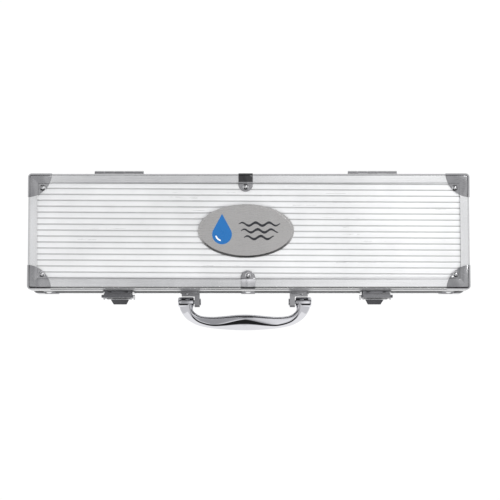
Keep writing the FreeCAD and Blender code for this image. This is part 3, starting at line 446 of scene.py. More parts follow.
# colour and roughness
PLASTICS = {
    "reagent_liquid": ((0.70, 0.45, 0.15), 0.1),
    "cap_red": (CAP_COLOURS[0], 0.35),
    "cap_yellow": (CAP_COLOURS[1], 0.35),
    "cap_blue": (CAP_COLOURS[2], 0.35),
    "cap_green": (CAP_COLOURS[3], 0.35),
    "vial_cap_black": ((0.02, 0.02, 0.022), 0.4),
    "meter_white": ((0.84, 0.85, 0.86), 0.32),
    "meter_blue": ((0.02, 0.12, 0.38), 0.3),
    "display_grey": ((0.36, 0.41, 0.33), 0.5),
    "display_digits": ((0.17, 0.20, 0.16), 0.5),
    "button_rubber": ((0.06, 0.07, 0.08), 0.65),
    "probe_black": ((0.03, 0.03, 0.033), 0.45),
    "board_green": ((0.02, 0.17, 0.07), 0.35),
    "mark_blue": ((0.01, 0.13, 0.38), 0.3),
    "mark_dark": ((0.015, 0.016, 0.02), 0.35),
    "mark_white": ((0.85, 0.85, 0.85), 0.3),
}
ALUMINIUM = (0.86, 0.865, 0.87)
MATS = {
    "ribbed_skin": with_painted_light(metal("ribbed_skin", ALUMINIUM, 0.36, "x", 700.0, metallic=0.45)),
    "ribbed_end": with_painted_light(metal("ribbed_end", ALUMINIUM, 0.36, "y", 700.0, metallic=0.45)),
    "rail_aluminium": with_painted_light(metal("rail_aluminium", ALUMINIUM, 0.16, "x", 1200.0, metallic=0.85,
                                  spread=0.05)),
    # painted shade: the rims are the rails' aluminium made darker, the base rim darkest
    "lid_rim": metal("lid_rim", (0.62, 0.62, 0.63), 0.3, "x", 1200.0),
    "base_rim": metal("base_rim", (0.36, 0.36, 0.365), 0.3, "x", 1200.0),
    "cap_steel": pressed("cap_steel", (0.43, 0.43, 0.44), 0.24),
    "clip_steel": with_painted_light(pressed("clip_steel", (0.43, 0.43, 0.44), 0.24)),
    "rivet_steel": metal("rivet_steel", (0.74, 0.74, 0.75), 0.10, spread=0.04),
    "latch_steel": metal("latch_steel", (0.25, 0.25, 0.26), 0.16, spread=0.06),
    "hinge_steel": metal("hinge_steel", (0.50, 0.50, 0.51), 0.2, spread=0.06),
    "handle_chrome": metal("handle_chrome", (0.72, 0.72, 0.75), 0.06, None, 600.0, 0.03, 0.04, 0.02),
    "bracket_steel": metal("bracket_steel", (0.42, 0.42, 0.43), 0.14, None, 700.0, 0.05, 0.08),
    "badge_steel": metal("badge_steel", (0.60, 0.59, 0.58), 0.3, "x", 1100.0, 0.08, 0.05, 0.1),
    "pin_steel": metal("pin_steel", (0.60, 0.60, 0.62), 0.22),
    "black_lining": flock("black_lining", (0.018, 0.018, 0.02)),
    "lid_foam": foam("lid_foam", (0.035, 0.035, 0.04), 700.0),
    "tray_foam": foam("tray_foam", (0.03, 0.03, 0.034), 1300.0),
    "bottle_plastic": plastic("bottle_plastic", (0.90, 0.91, 0.90), 0.32,
                              Transmission_Weight=0.35, Subsurface_Weight=0.2),
    "bottle_sleeve": sleeve(),
    "colour_scale": colour_scale(),
    "clear_acrylic": clear("clear_acrylic", (0.93, 0.97, 0.98)),
    "vial_glass": clear("vial_glass", (0.95, 0.99, 0.98), 0.02, 1.5),
    "meter_window": clear("meter_window", (0.85, 0.92, 0.90), 0.05),
    "cell_steel": metal("cell_steel", (0.70, 0.70, 0.70), 0.2),
}
MATS.update((name, plastic(name, *values)) for name, values in PLASTICS.items())


def place(obj, body, mat, *nodes, slot=None):
    """Gives a piece its material and body, and hides what it stands for; the slot is not used."""
    obj.data.materials.append(MATS[mat])
    if nodes:
        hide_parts(*nodes)
    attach(obj, body)


# ---- camera, floor and light -----------------------------
def add_camera():
    """Looks down on the lid from just in front, through a long lens."""
    elevation = math.radians(85)
    distance = 1.7
    target = Vector((CASE_MID.x + 1.2 * MM, CASE_MID.y - 18.5 * MM, LID_TOP))
    back = Vector((0, -math.cos(elevation), math.sin(elevation)))
    data = bpy.data.cameras.new("camera")
    data.lens = 127.4
    data.sensor_width = 36
    data.clip_end = 50
    camera = link("camera", data)
    camera.location = target + back * distance
    camera.rotation_euler = back.to_track_quat("Z", "Y").to_euler()
    bpy.context.scene.camera = camera


def add_floor():
    """Wide pale floor under the case."""
    bm = bmesh.new()
    bmesh.ops.create_circle(bm, cap_ends=True, radius=6.0, segments=96)
    floor = from_bmesh("floor", bm)
    floor.location.z = -0.0002
    mat, tree, shader = material("floor_white", (0, 0, 0), 1.0, Emission_Strength=1.03)
    shader.inputs["Specular IOR Level"].default_value = 0
    slow = noise_of(tree, mapped(tree), 3.0)
    tree.links.new(mixed(tree, slow, (0.995, 0.995, 1.0), (1.0, 1.0, 1.0)),
                   shader.inputs["Emission Color"])
    floor.data.materials.append(mat)


def area_light(name, place_at, aim, size, size_y, power, mirrored=False):
    """Soft box aimed at a point; metal shows it only if mirrored."""
    data = bpy.data.lights.new(name, "AREA")
    data.shape = "RECTANGLE"
    data.size = size
    data.size_y = size_y
    data.energy = power
    lamp = link(name, data)
    lamp.location = place_at
    lamp.visible_glossy = mirrored
    lamp.rotation_euler = (Vector(place_at) - Vector(aim)).to_track_quat("Z", "Y").to_euler()


# tone of the room by height: 0 straight down, 0.5 level, 1 straight up
WORLD_BANDS = [(0.505, 0.8), (0.545, 0.5), (0.60, 0.12), (0.635, 0.02), (0.87, 0.02), (0.91, 0.5),
               (0.96, 0.42)]


def add_light():
    """Soft boxes that only light, and a room of bands that the metal reflects."""
    centre = (CASE_MID.x, CASE_MID.y, 0.05)
    area_light("front_box", (0.35, -1.35, 0.85), centre, 1.6, 0.5, 32)
    area_light("back_box", (-0.2, 1.4, 1.0), centre, 1.6, 0.7, 7)
    area_light("right_box", (1.1, 0.0, 0.8), centre, 0.8, 1.0, 7)
    area_light("left_box", (-1.5, 0.0, 0.8), centre, 1.0, 1.0, 1.5)
    area_light("glint", (0.55, 0.65, 1.1), centre, 0.3, 0.3, 2, mirrored=True)
    world = bpy.data.worlds.new("room")
    world.use_nodes = True
    bpy.context.scene.world = world
    tree = world.node_tree
    coord = tree.nodes.new("ShaderNodeTexCoord")
    split = tree.nodes.new("ShaderNodeSeparateXYZ")
    bands = tree.nodes.new("ShaderNodeValToRGB")
    stops = bands.color_ramp.elements
    stops[0].position, stops[0].color = 0.0, (0.9, 0.9, 0.93, 1)
    stops[1].position, stops[1].color = 1.0, (0.38, 0.38, 0.39, 1)
    for at, tone in WORLD_BANDS:
        stops.new(at).color = (tone, tone, tone * 1.03, 1)
    tree.links.new(coord.outputs["Generated"], split.inputs[0])
    x, z = split.outputs["X"], ramp(tree, split.outputs["Z"], 0, 1, -1, 1)
    tree.links.new(z, bands.inputs[0])
    # a bright panel overhead to the right, pale walls at the ends, at the sides and behind
    aside = maths(tree, "ABSOLUTE", x)
    high = step_up(tree, z, 0.88, 0.94)
    panel = maths(tree, "MULTIPLY", step_up(tree, x, -0.06, 0.10), high)
    ends = maths(tree, "MULTIPLY", step_up(tree, aside, 0.108, 0.124), high)
    low = ramp(tree, z, 1, 0, 0.70, 0.80)
    behind = maths(tree, "MULTIPLY", step_up(tree, split.outputs["Y"], 0.2, 0.4), low)
    walls = maths(tree, "MAXIMUM", maths(tree, "MAXIMUM", ends, behind),
                  step_up(tree, aside, 0.70, 0.85))
    lit = mixed(tree, panel, bands.outputs["Color"], (1.05, 1.05, 1.06))
    lit = mixed(tree, walls, lit, (0.72, 0.72, 0.73))
    tree.links.new(lit, tree.nodes["Background"].inputs["Color"])
    view = bpy.context.scene.view_settings
    view.view_transform = "Standard"
    view.look = "None"


# ---- ribbed panels ---------------------------------------
RIB_PITCH = 5.78
RIB_RISE = 0.40
# along one rib from 0 to 1: depth below the crest as a part of the rise, tone of the skin, which is
# painted shade that darkens the grooves
RIB_PROFILE = [(0.0, 1.0, 0.52), (0.04, 0.92, 0.56), (0.09, 0.50, 0.76), (0.13, 0.33, 0.95),
               (0.18, 0.25, 1.0), (0.28, 0.13, 1.0), (0.40, 0.03, 1.0), (0.5, 0.0, 1.0),
               (0.60, 0.03, 1.0), (0.72, 0.13, 1.0), (0.82, 0.27, 1.0), (0.87, 0.38, 0.95),
               (0.91, 0.56, 0.76), (0.96, 0.92, 0.56)]
RIB_SHARP = 18           # edges of a rib sharper than that many degrees stay crisp
LID_SKEW = -0.0056       # the skin of the lid lies a third of a degree off square
WALL_SHADE = 0.74         # painted shade: the skin of the upright walls is darker, against 1 on the lid's face
PANEL_T = 4.0
EDGE_SHADE = (7.5, 8.4)   # painted shadow of the rails: the skin is dark to here from its edge, then fades by here
# tone of that painted shadow along the sides and at the ends
EDGE_SHADE_TONE, END_SHADE_TONE = 0.6, 0.85


def ribbed_panel(bm, length, width, place_matrix, skew=0.0, painted_shade=1.0):
    """Adds a slab to bm: ribs along its X, crests at z = 0, centred in X and Y."""
    part = bmesh.new()
    painted_light = part.verts.layers.float_color.new("tone")
    half_l, half_w = length / 2, width / 2
    inner = [half_l - EDGE_SHADE[1], half_l - EDGE_SHADE[0], half_l]
    columns = [-x for x in reversed(inner)] + [0] + inner
    slack = abs(skew) * half_l + RIB_PITCH
    count = math.ceil(2 * (half_w + slack) / RIB_PITCH)
    rows = []
    for k in range(count):
        start = (k - count / 2) * RIB_PITCH
        for along, depth, tone in RIB_PROFILE:
            y, z = start + along * RIB_PITCH, -depth * RIB_RISE
            rows.append([part.verts.new((x, y + skew * x, z)) for x in columns])
            # each point's tone: the groove's painted shade, times the walls' painted shade
            for v in rows[-1]:
                v[painted_light] = (tone * painted_shade, tone * painted_shade, tone * painted_shade, 1)
    for a, b in zip(rows, rows[1:]):
        for k in range(len(columns) - 1):
            part.faces.new((a[k], a[k + 1], b[k + 1], b[k]))
    for at in (half_w, half_w - EDGE_SHADE[0], half_w - EDGE_SHADE[1]):
        for side in (-1, 1):
            geom = part.verts[:] + part.edges[:] + part.faces[:]
            bmesh.ops.bisect_plane(part, geom=geom, plane_co=(0, side * at, 0),
                                   plane_no=(0, side, 0), clear_outer=at == half_w)
    # painted shadow along the skin's edges, under the rails
    for v in part.verts:
        for place_in, tone in ((half_w - abs(v.co.y), EDGE_SHADE_TONE), (half_l - abs(v.co.x), END_SHADE_TONE)):
            if place_in < EDGE_SHADE[0] + 0.01:
                v[painted_light] = [c * tone for c in v[painted_light][:3]] + [1]
    rim = [e for e in part.edges if e.is_boundary]
    grown = bmesh.ops.extrude_edge_only(part, edges=rim)["geom"]
    low = [v for v in grown if isinstance(v, bmesh.types.BMVert)]
    for v in low:
        v.co.z = -PANEL_T
    bottom = [e for e in part.edges if e.is_boundary]
    bmesh.ops.holes_fill(part, edges=bottom, sides=0)
    bmesh.ops.recalc_face_normals(part, faces=part.faces)
    part.transform(place_matrix @ Matrix.Scale(MM, 4))
    mesh = bpy.data.meshes.new("part")
    part.to_mesh(mesh)
    part.free()
    bm.from_mesh(mesh)
    bpy.data.meshes.remove(mesh)


def turned(axis_x, axis_y, axis_z, origin):
    """Matrix that takes X, Y and Z to those directions, at an origin."""
    rows = Matrix((axis_x, axis_y, axis_z)).transposed().to_4x4()
    return Matrix.Translation(origin) @ rows


def add_wall_pair(node, body, mat, across):
    """The two upright panels of a node, which face out along X or Y, axis 0 or 1."""
    lo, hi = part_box(node)
    size = (hi - lo) / MM
    bm = bmesh.new()
    for corner, way in ((lo, -1), (hi, 1)):
        at, out = (lo + hi) / 2, Vector((0, 0, 0))
        at[across], out[across] = corner[across], way
        ribbed_panel(bm, size[1 - across], size.z, turned(UP.cross(out), UP, out, at), painted_shade=WALL_SHADE)
    place(from_bmesh(node + "_fine", bm, RIB_SHARP), body, mat, node, slot="ribbed_skin")


def add_panels():
    """The six ribbed nodes, each made again with a finer rib."""
    for half, up in (("lid", 1), ("base", -1)):
        node = "lid_top_panel" if up > 0 else "base_bottom_panel"
        lo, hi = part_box(node)
        mid, size = (lo + hi) / 2, (hi - lo) / MM
        bm = bmesh.new()
        at = Vector((mid.x, mid.y, hi.z if up > 0 else lo.z))
        skew = LID_SKEW if up > 0 else 0.0
        ribbed_panel(bm, size.x, size.y, turned((1, 0, 0), (0, up, 0), (0, 0, up), at), skew)
        place(from_bmesh(node + "_fine", bm, RIB_SHARP), half, "ribbed_skin", node)
        add_wall_pair(half + "_long_panels", half, "ribbed_skin", 1)
        add_wall_pair(half + "_end_panels", half, "ribbed_end", 0)


# ---- rails -----------------------------------------------
# section of a rail: inward from its outer side, down from its top, tone; the tone is painted shade,
# darker on the outer side and nose and near black on the ledge at the flange's end
RAIL_PROFILE = [(0.0, 8.3, 0.6), (0.0, 1.5, 0.6), (0.03, 1.3, 0.6), (0.12, 1.15, 0.7), (1.75, 0.06, 1),
                (2.0, 0.0, 1), (8.6, 0.0, 1), (8.8, 0.2, 1), (8.8, 1.4, 1), (8.6, 1.6, 1), (1.8, 1.6, 1),
                (1.6, 1.8, 1), (1.6, 8.6, 0.03), (1.4, 8.8, 0.03), (0.7, 8.8, 0.03), (0.5, 8.8, 0.6),
                (0.2, 8.8, 0.6), (0.0, 8.6, 0.6)]
RAIL_ROUND = 3.0         # radius of the rails' outer corners, seen from above
LONGEST_POST = 30 * MM   # what is longer than this is a rail, not a corner post
CORNER_POINTS = 7        # points on the quarter turn at each corner
CORNER_SIDES = ((1, 1), (-1, 1), (-1, -1), (1, -1))


def cornered(mid, reach, inward):
    """Points (x, y) of the rails' outline, that many millimetres in from the outer side."""
    turn = max(RAIL_ROUND - inward, 0.0)
    inset = RAIL_ROUND if turn else inward
    points = []
    for quarter, (side_x, side_y) in enumerate(CORNER_SIDES):
        for k in range(CORNER_POINTS):
            angle = math.radians(90 * quarter + 90 / (CORNER_POINTS - 1) * k)
            points.append((mid.x + (side_x * (reach.x - inset) + turn * math.cos(angle)) * MM,
                           mid.y + (side_y * (reach.y - inset) + turn * math.sin(angle)) * MM))
    return points


def long_islands_gone(mesh, longest):
    """Drops the parts of a mesh that are longer than that in X or Y."""
    bm = bmesh.new()
    bm.from_mesh(mesh)
    left, gone = set(bm.verts), []
    for first in bm.verts:
        island, queue = [], [first] if first in left else []
        left.discard(first)
        while queue:
            v = queue.pop()
            island.append(v)
            near = [w for w in (e.other_vert(v) for e in v.link_edges) if w in left]
            left.difference_update(near)
            queue += near
        for axis in (0, 1):
            places = [v.co[axis] for v in island] or [0]
            if max(places) - min(places) > longest:
                gone += island
                break
    bmesh.ops.delete(bm, geom=gone, context="VERTS")
    bm.to_mesh(mesh)
    bm.free()


def add_rails():
    """The rails along the outer edges, a ring with a flattened nose, and the corner posts."""
    for half, up in (("lid", 1), ("base", -1)):
        node = half + "_edge_rails"
        lo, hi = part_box(node)
        mid, reach = (lo + hi) / 2, (hi - lo) / 2 / MM
        posts = softened(node, 0.25)
        long_islands_gone(posts.data, LONGEST_POST)
        bm = bmesh.new()
        painted_light = bm.verts.layers.float_color.new("tone")
        bm.from_mesh(posts.data)
        bpy.data.objects.remove(posts)
        for v in bm.verts:
            v[painted_light] = (1, 1, 1, 1)
        rings = []
        for inward, down, tone in RAIL_PROFILE:
            z = hi.z - down * MM if up > 0 else lo.z + down * MM
            rings.append([bm.verts.new((x, y, z)) for x, y in cornered(mid, reach, inward)])
            for v in rings[-1]:
                v[painted_light] = (tone, tone, tone, 1)
        joined(bm, rings + rings[:1])
        bmesh.ops.remove_doubles(bm, verts=bm.verts, dist=TOUCH)
        place(from_bmesh(node + "_fine", bm, 24), half, "rail_aluminium", node)


# ---- badge -----------------------------------------------
def flat_shape(bm, outline, z, thickness):
    """Adds a thin closed plate with that (x, y) outline in metres, on height z."""
    top = [bm.verts.new((x, y, z + thickness)) for x, y in outline]
    low = [bm.verts.new((x, y, z)) for x, y in outline]
    bm.faces.new(top)
    bm.faces.new(list(reversed(low)))
    for k in range(len(top)):
        n = (k + 1) % len(top)
        bm.faces.new((top[k], low[k], low[n], top[n]))


def arc(centre, radius, start, turn, steps):
    """Points (x, y) on an arc, which goes on from an angle by another."""
    angles = [start + turn * k / steps for k in range(steps + 1)]
    return [(centre.x + radius * math.cos(t), centre.y + radius * math.sin(t)) for t in angles]


MARK_T = 0.025 * MM      # thickness of the badge's print
# the badge's edge: in from its outline in millimetres, height as a part of its thickness
BADGE_PROFILE = [(0.0, 0.0), (0.0, 0.28), (0.12, 0.38), (1.8, 0.92), (1.95, 0.965), (2.2, 0.985),
                 (2.6, 0.985), (4.2, 0.985)]


def add_badge():
    """Oval plate with a rolled bevel, a water drop and three waves on it."""
    lo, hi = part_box("badge_plate")
    mid, half = (lo + hi) / 2, (hi - lo) / 2
    steps = 128
    bm = bmesh.new()
    rings = []
    for inset, height in BADGE_PROFILE:
        z = lo.z + (hi.z - lo.z) * height
        a, b = half.x - inset * MM, half.y - inset * MM
        rings.append([bm.verts.new((mid.x + a * math.cos(math.tau * k / steps),
                                    mid.y + b * math.sin(math.tau * k / steps), z))
                      for k in range(steps)])
    joined(bm, rings)
    bm.faces.new(rings[-1])
    bm.faces.new(list(reversed(rings[0])))
    place(from_bmesh("badge_oval", bm, 16), "lid", "badge_steel", "badge_plate")

    face_z = lo.z + (hi.z - lo.z) * BADGE_PROFILE[-1][1]
    drop = bmesh.new()
    centre = Vector((mid.x - 23 * MM, mid.y - 3.5 * MM))
    radius, tip = 9.5 * MM, 20.0 * MM
    touch = math.asin(radius / tip)
    outline = [(centre.x, centre.y + tip)]
    outline += arc(centre, radius, math.pi - touch, math.pi + 2 * touch, 48)
    flat_shape(drop, outline, face_z, MARK_T)
    place(from_bmesh("badge_drop", drop), "lid", "mark_blue")

    glint = bmesh.new()
    outer = arc(centre, 6.6 * MM, math.radians(190), math.radians(70), 16)
    inner = arc(centre, 5.2 * MM, math.radians(255), math.radians(-60), 16)
    flat_shape(glint, outer + inner, face_z + MARK_T, MARK_T / 4)
    place(from_bmesh("badge_glint", glint), "lid", "mark_white")

    waves = bmesh.new()
    for row, (x0, x1) in enumerate(((-7, 33), (-5, 31), (-2, 27))):
        y = mid.y + (6.5 - 6.5 * row) * MM
        xs = [x0 + (x1 - x0) * k / 60 for k in range(61)]
        crest = [(mid.x + x * MM, y + 1.5 * MM * math.sin((x - x0) * math.tau / 13.0)) for x in xs]
        width = [0.25 + 1.05 * math.sin(math.pi * k / 60) ** 0.5 for k in range(61)]
        upper = [(x, yy + w * MM) for (x, yy), w in zip(crest, width)]
        lower = [(x, yy - w * MM) for (x, yy), w in zip(crest, width)]
        flat_shape(waves, upper + lower[::-1], face_z, MARK_T)
    place(from_bmesh("badge_waves", waves), "lid", "mark_dark")


# ---- handle ----------------------------------------------
NOSE = 0.98              # the outermost point of a section, as a part of its half depth
# the upper half of a section's rounded inner side
INNER_SIDE = [(-0.66, 0.93), (-0.84, 0.80), (-0.94, 0.65), (-0.99, 0.42)]
# sections of the bar from a knuckle to its middle: along X, out from the pins, half depth and
# half height in millimetres, then the ridge's place and the outer side's lower edge, from -1 to 1
HANDLE_LINE = [
    (58.1, 0.0, 7.6, 4.8, -0.15, -0.60),
    (57.7, 5.6, 6.9, 4.9, -0.20, -0.65),
    (54.9, 11.8, 5.5, 4.8, -0.10, -0.60),
    (49.9, 15.9, 5.0, 4.9, 0.20, -0.45),
    (43.4, 18.7, 5.1, 5.2, 0.48, -0.25),
    (33.0, 20.2, 5.7, 5.5, 0.66, -0.15),
    (22.0, 20.5, 6.6, 5.7, 0.50, -0.25),
    (10.0, 20.3, 7.6, 5.8, 0.26, -0.45),
    (0.0, 20.2, 7.9, 5.8, 0.16, -0.60),
]


def spline(points, parts):
    """Catmull-Rom points through a list of tuples."""
    result = []
    for k in range(len(points) - 1):
        p0, p1 = points[max(k - 1, 0)], points[k]
        p2, p3 = points[k + 1], points[min(k + 2, len(points) - 1)]
        for m in range(parts):
            t = m / parts
            result.append(tuple(
                0.5 * (2 * b + (c - a) * t + (2 * a - 5 * b + 4 * c - d) * t * t
                       + (3 * b - a - 3 * c + d) * t ** 3)
                for a, b, c, d in zip(p0, p1, p2, p3)))
    result.append(points[-1])
    return result


def add_handle():
    """Cast handle: a waisted bar with a crisp ridge, on two rounded knuckles."""
    lo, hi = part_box("handle_grip")
    middle, height = (lo.x + hi.x) / 2, (lo.z + hi.z) / 2
    reach, half_depth = HANDLE_LINE[-1][1:3]
    pivot = lo.y + (reach + NOSE * half_depth) * MM
    left = [(-row[0], *row[1:]) for row in HANDLE_LINE]
    line = spline(left + HANDLE_LINE[-2::-1], 6)
    bm = bmesh.new()
    rings = []
    for k, (x, r, depth, tall, ridge, low) in enumerate(line):
        before, after = line[max(k - 1, 0)], line[min(k + 1, len(line) - 1)]
        run = Vector((after[0] - before[0], before[1] - after[1], 0)).normalized()
        if k in (0, len(line) - 1):
            run = Vector((0, -1 if k == 0 else 1, 0))
        outward = Vector((run.y, -run.x, 0))
        centre = Vector((middle + x * MM, pivot - r * MM, height))
        band = 0.30 + 0.22 * max(0.0, 1 - abs(x) / 25)
        edge = 1 - 0.6 * band * depth / tall
        slope = [(ridge + (NOSE - ridge) * t, edge + (low - edge) * t) for t in (0.08, 0.5, 0.9)]
        shape = [(-1.0, 0.0), *INNER_SIDE[::-1], (min(-0.5, ridge - band - 0.1), 0.985),
                 (ridge - band - 0.06, 1.0), (ridge - band, 0.985), (ridge, edge), *slope, (NOSE, low)]
        shape += [(NOSE - (NOSE - ridge) * t, low - (low + 1) * t) for t in (0.12, 0.5, 0.88)]
        shape += [(ridge - 0.05, -1.0)] + [(a, -b) for a, b in INNER_SIDE]
        rings.append([bm.verts.new(centre + outward * (a * depth * MM) + Vector((0, 0, b * tall * MM)))
                      for a, b in shape])
    joined(bm, rings)
    bm.faces.new(rings[0])
    bm.faces.new(list(reversed(rings[-1])))
    bar = from_bmesh("handle_bar", bm)
    smooth = bar.modifiers.new("smooth", "SUBSURF")
    smooth.levels = smooth.render_levels = 1
    applied(bar, 60)
    place(bar, "handle", "handle_chrome", "handle_grip")

    ends = bmesh.new()
    inner_end, bore, outer, long = 50.2, 2.1, 4.9, 15.8
    for side in (-1, 1):
        start = Vector((middle + side * inner_end * MM, pivot, height))
        profile = rounded([(0, bore), (0, outer), (long, outer), (long, 0.0)], 2.2, 6)
        lathe(ends, profile, start, (side, 0, 0), 56)
    bmesh.ops.holes_fill(ends, edges=[e for e in ends.edges if e.is_boundary], sides=0)
    place(from_bmesh("handle_knuckles", ends, 40), "handle", "handle_chrome")


# ---- latches ---------------------------------------------
TAB_LENGTH = 4.4 * MM
TAB_TAPER = 0.3          # the part of its width that the tab loses by its tip
HOOK_INSET = 2.2 * MM    # the hook's head is that much narrower on each side
# the hook's head: out from its inner side and up from its top, in millimetres
HOOK_HEAD = [(0.5, -1.0), (0.5, -0.2), (1.0, 0.0), (3.8, 0.0), (4.3, -0.4), (4.3, -0.9), (3.9, -0.9)]


def add_latches():
    """Levers with a tapered finger tab, and hooks whose head curls over the keeper."""
    for side in ("left", "right"):
        node = f"latch_{side}_lever"
        lo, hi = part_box(node)
        middle = (lo.x + hi.x) / 2
        lever = softened(node, 0.25)
        for v in lever.data.vertices:
            reach = (lo.y + TAB_LENGTH - v.co.y) / TAB_LENGTH
            if reach > 0:
                v.co.x = middle + (v.co.x - middle) * (1 - TAB_TAPER * reach)
        place(lever, node, "latch_steel", node)

        node = f"latch_{side}_hook"
        lo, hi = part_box(node)
        hook = softened(node, 0.25)
        bm = bmesh.new()
        bm.from_mesh(hook.data)
        bpy.data.objects.remove(hook)
        ends = [[bm.verts.new((x, lo.y + out * MM, hi.z + rise * MM)) for out, rise in HOOK_HEAD]
                for x in (lo.x + HOOK_INSET, hi.x - HOOK_INSET)]
        bm.faces.new(ends[0])
        bm.faces.new(ends[1])
        joined(bm, ends)
        place(from_bmesh(node + "_fine", bm), node, "latch_steel", node)


# ---- foam ------------------------------------------------
def add_lid_foam():
    """Egg-crate foam pad glued under the lid."""
    lo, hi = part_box("lid_foam")
    step, pitch = 1.6 * MM, 19.0 * MM
    deepest, border, border_depth = 8.5 * MM, 5 * MM, 2.5 * MM
    nx, ny = round((hi.x - lo.x) / step), round((hi.y - lo.y) / step)
    bm = bmesh.new()
    grid = []
    for i in range(nx + 1):
        column = []
        for j in range(ny + 1):
            x, y = lo.x + (hi.x - lo.x) * i / nx, lo.y + (hi.y - lo.y) * j / ny
            wave = (math.sin(math.tau * x / pitch) * math.sin(math.tau * (y - CASE_MID.y) / pitch))
            edge = min(i, nx - i, j, ny - j) * step
            fade = min(1.0, edge / border)
            depth = (1 - wave) / 2 * deepest * fade + (1 - fade) * border_depth
            grain = noise.noise(Vector((x, y, 0)) * 420) * 0.25 * MM
            column.append(bm.verts.new((x, y, lo.z + max(depth + grain, 0))))
        grid.append(column)
    for i in range(nx):
        for j in range(ny):
            bm.faces.new((grid[i][j], grid[i][j + 1], grid[i + 1][j + 1], grid[i + 1][j]))
    rim = [e for e in bm.edges if e.is_boundary]
    grown = bmesh.ops.extrude_edge_only(bm, edges=rim)["geom"]
    for v in (g for g in grown if isinstance(g, bmesh.types.BMVert)):
        v.co.z = hi.z
    bmesh.ops.holes_fill(bm, edges=[e for e in bm.edges if e.is_boundary], sides=0)
    pad = from_bmesh("lid_egg_foam", bm, 60)
    place(pad, "lid", "lid_foam", "lid_foam")


def add_tray():
    """Foam tray with its cut-outs, edges softened as cut foam is."""
    tray = copied("foam_tray", "foam_tray_cut")
    remesh = tray.modifiers.new("remesh", "REMESH")
    remesh.mode = "VOXEL"
    remesh.voxel_size = 1.3 * MM
    smooth = tray.modifiers.new("smooth", "SMOOTH")
    smooth.factor = 0.5
    smooth.iterations = 3
    applied(tray, 70)
    normals = [v.vector.copy() for v in tray.data.vertex_normals]
    grain, drawn_in = 0.12, 0.3
    for v, normal in zip(tray.data.vertices, normals):
        v.co += normal * (noise.noise(v.co * 600) * grain - drawn_in) * MM
    place(tray, "base", "tray_foam", "foam_tray")


def add_comparator():
    """One clear block with two square cells, a square collar round the mouth of each."""
    lo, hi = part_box("comparator_block")
    middle = (lo.z + hi.z) / 2
    collar, half, wall, floor = 5.0 * MM, 6.2 * MM, 1.6 * MM, 4.0 * MM
    block = boxed("comparator_clear", lo, (hi.x, hi.y - collar, hi.z))
    caps = [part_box(f"comparator_cap_{k}") for k in (1, 2)]
    for x in [(a.x + b.x) / 2 for a, b in caps]:
        out = half + wall
        carved(block, boxed("collar", (x - out, hi.y - collar - MM, middle - out),
                            (x + out, hi.y, middle + out)), "UNION")
        carved(block, boxed("cell", (x - half, lo.y + floor, middle - half),
                            (x + half, hi.y + MM, middle + half)), "DIFFERENCE")
    edge_bevel(block, 0.35)
    applied(block)
    place(block, "base", "clear_acrylic", "comparator_block")


def band(start, end, inner, outer):
    """The closed section of a band round a bottle or vial, for lathe."""
    return [(start, inner), (start, outer), (end, outer), (end, inner), (start, inner)]


def add_sleeves():
    """A printed sleeve on each bottle."""
    lo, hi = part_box("reagent_bottles")
    radius = (hi.z - lo.z) / 2 / MM
    bm = bmesh.new()
    for k in range(4):
        a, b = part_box(f"reagent_cap_{k + 1}")
        start = Vector(((a.x + b.x) / 2, lo.y, (lo.z + hi.z) / 2))
        lathe(bm, band(9, 41, radius - 0.1, radius + 0.12), start, (0, 1, 0), 64)
    bmesh.ops.remove_doubles(bm, verts=bm.verts, dist=TOUCH)
    place(from_bmesh("reagent_sleeves", bm), "base", "bottle_sleeve", slot="bottle_plastic")


def add_fill_lines():
    """A pale ring printed on each vial, to fill it to."""
    lo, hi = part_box("sample_vials")
    radius = (hi.z - lo.z) / 2 / MM
    bm = bmesh.new()
    for k in (1, 2):
        start = Vector((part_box(f"vial_cap_{k}")[0].x, (lo.y + hi.y) / 2, (lo.z + hi.z) / 2))
        lathe(bm, band(-20, -18.8, radius - 0.05, radius + 0.06), start, (1, 0, 0), 64)
    bmesh.ops.remove_doubles(bm, verts=bm.verts, dist=TOUCH)
    place(from_bmesh("vial_fill_lines", bm), "base", "mark_white", slot="colour_scale")


# the seven segments of a digit, as (x, y, whether it stands) in half widths
SEGMENTS = [(0, 2, 0), (0, 0, 0), (0, -2, 0), (-1, 1, 1), (1, 1, 1), (-1, -1, 1), (1, -1, 1)]


def add_digits():
    """Unlit segments of the meter's display: three digits and a point."""
    lo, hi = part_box("meter_display")
    mid = (lo + hi) / 2
    unit, thick, pitch, print_t = 2.5 * MM, 0.45 * MM, 7.6 * MM, 0.05 * MM
    dot = 0.6 * MM
    bm = bmesh.new()
    for digit in (-1, 0, 1):
        for sx, sy, upright in SEGMENTS:
            x, y = mid.x + digit * pitch + sx * unit, mid.y + sy * unit
            along, tip = unit - 0.55 * MM, unit - 0.1 * MM
            shape = [(-tip, 0), (-along, thick), (along, thick), (tip, 0), (along, -thick),
                     (-along, -thick)]
            outline = [(x + (v if upright else u), y + (u if upright else v)) for u, v in shape]
            flat_shape(bm, outline, hi.z, print_t)
    point = Vector((mid.x + pitch / 2, mid.y - 5.1 * MM))
    flat_shape(bm, arc(point, dot, 0, math.tau, 16)[:-1], hi.z, print_t)
    place(from_bmesh("meter_digits", bm), "base", "display_digits", slot="display_grey")


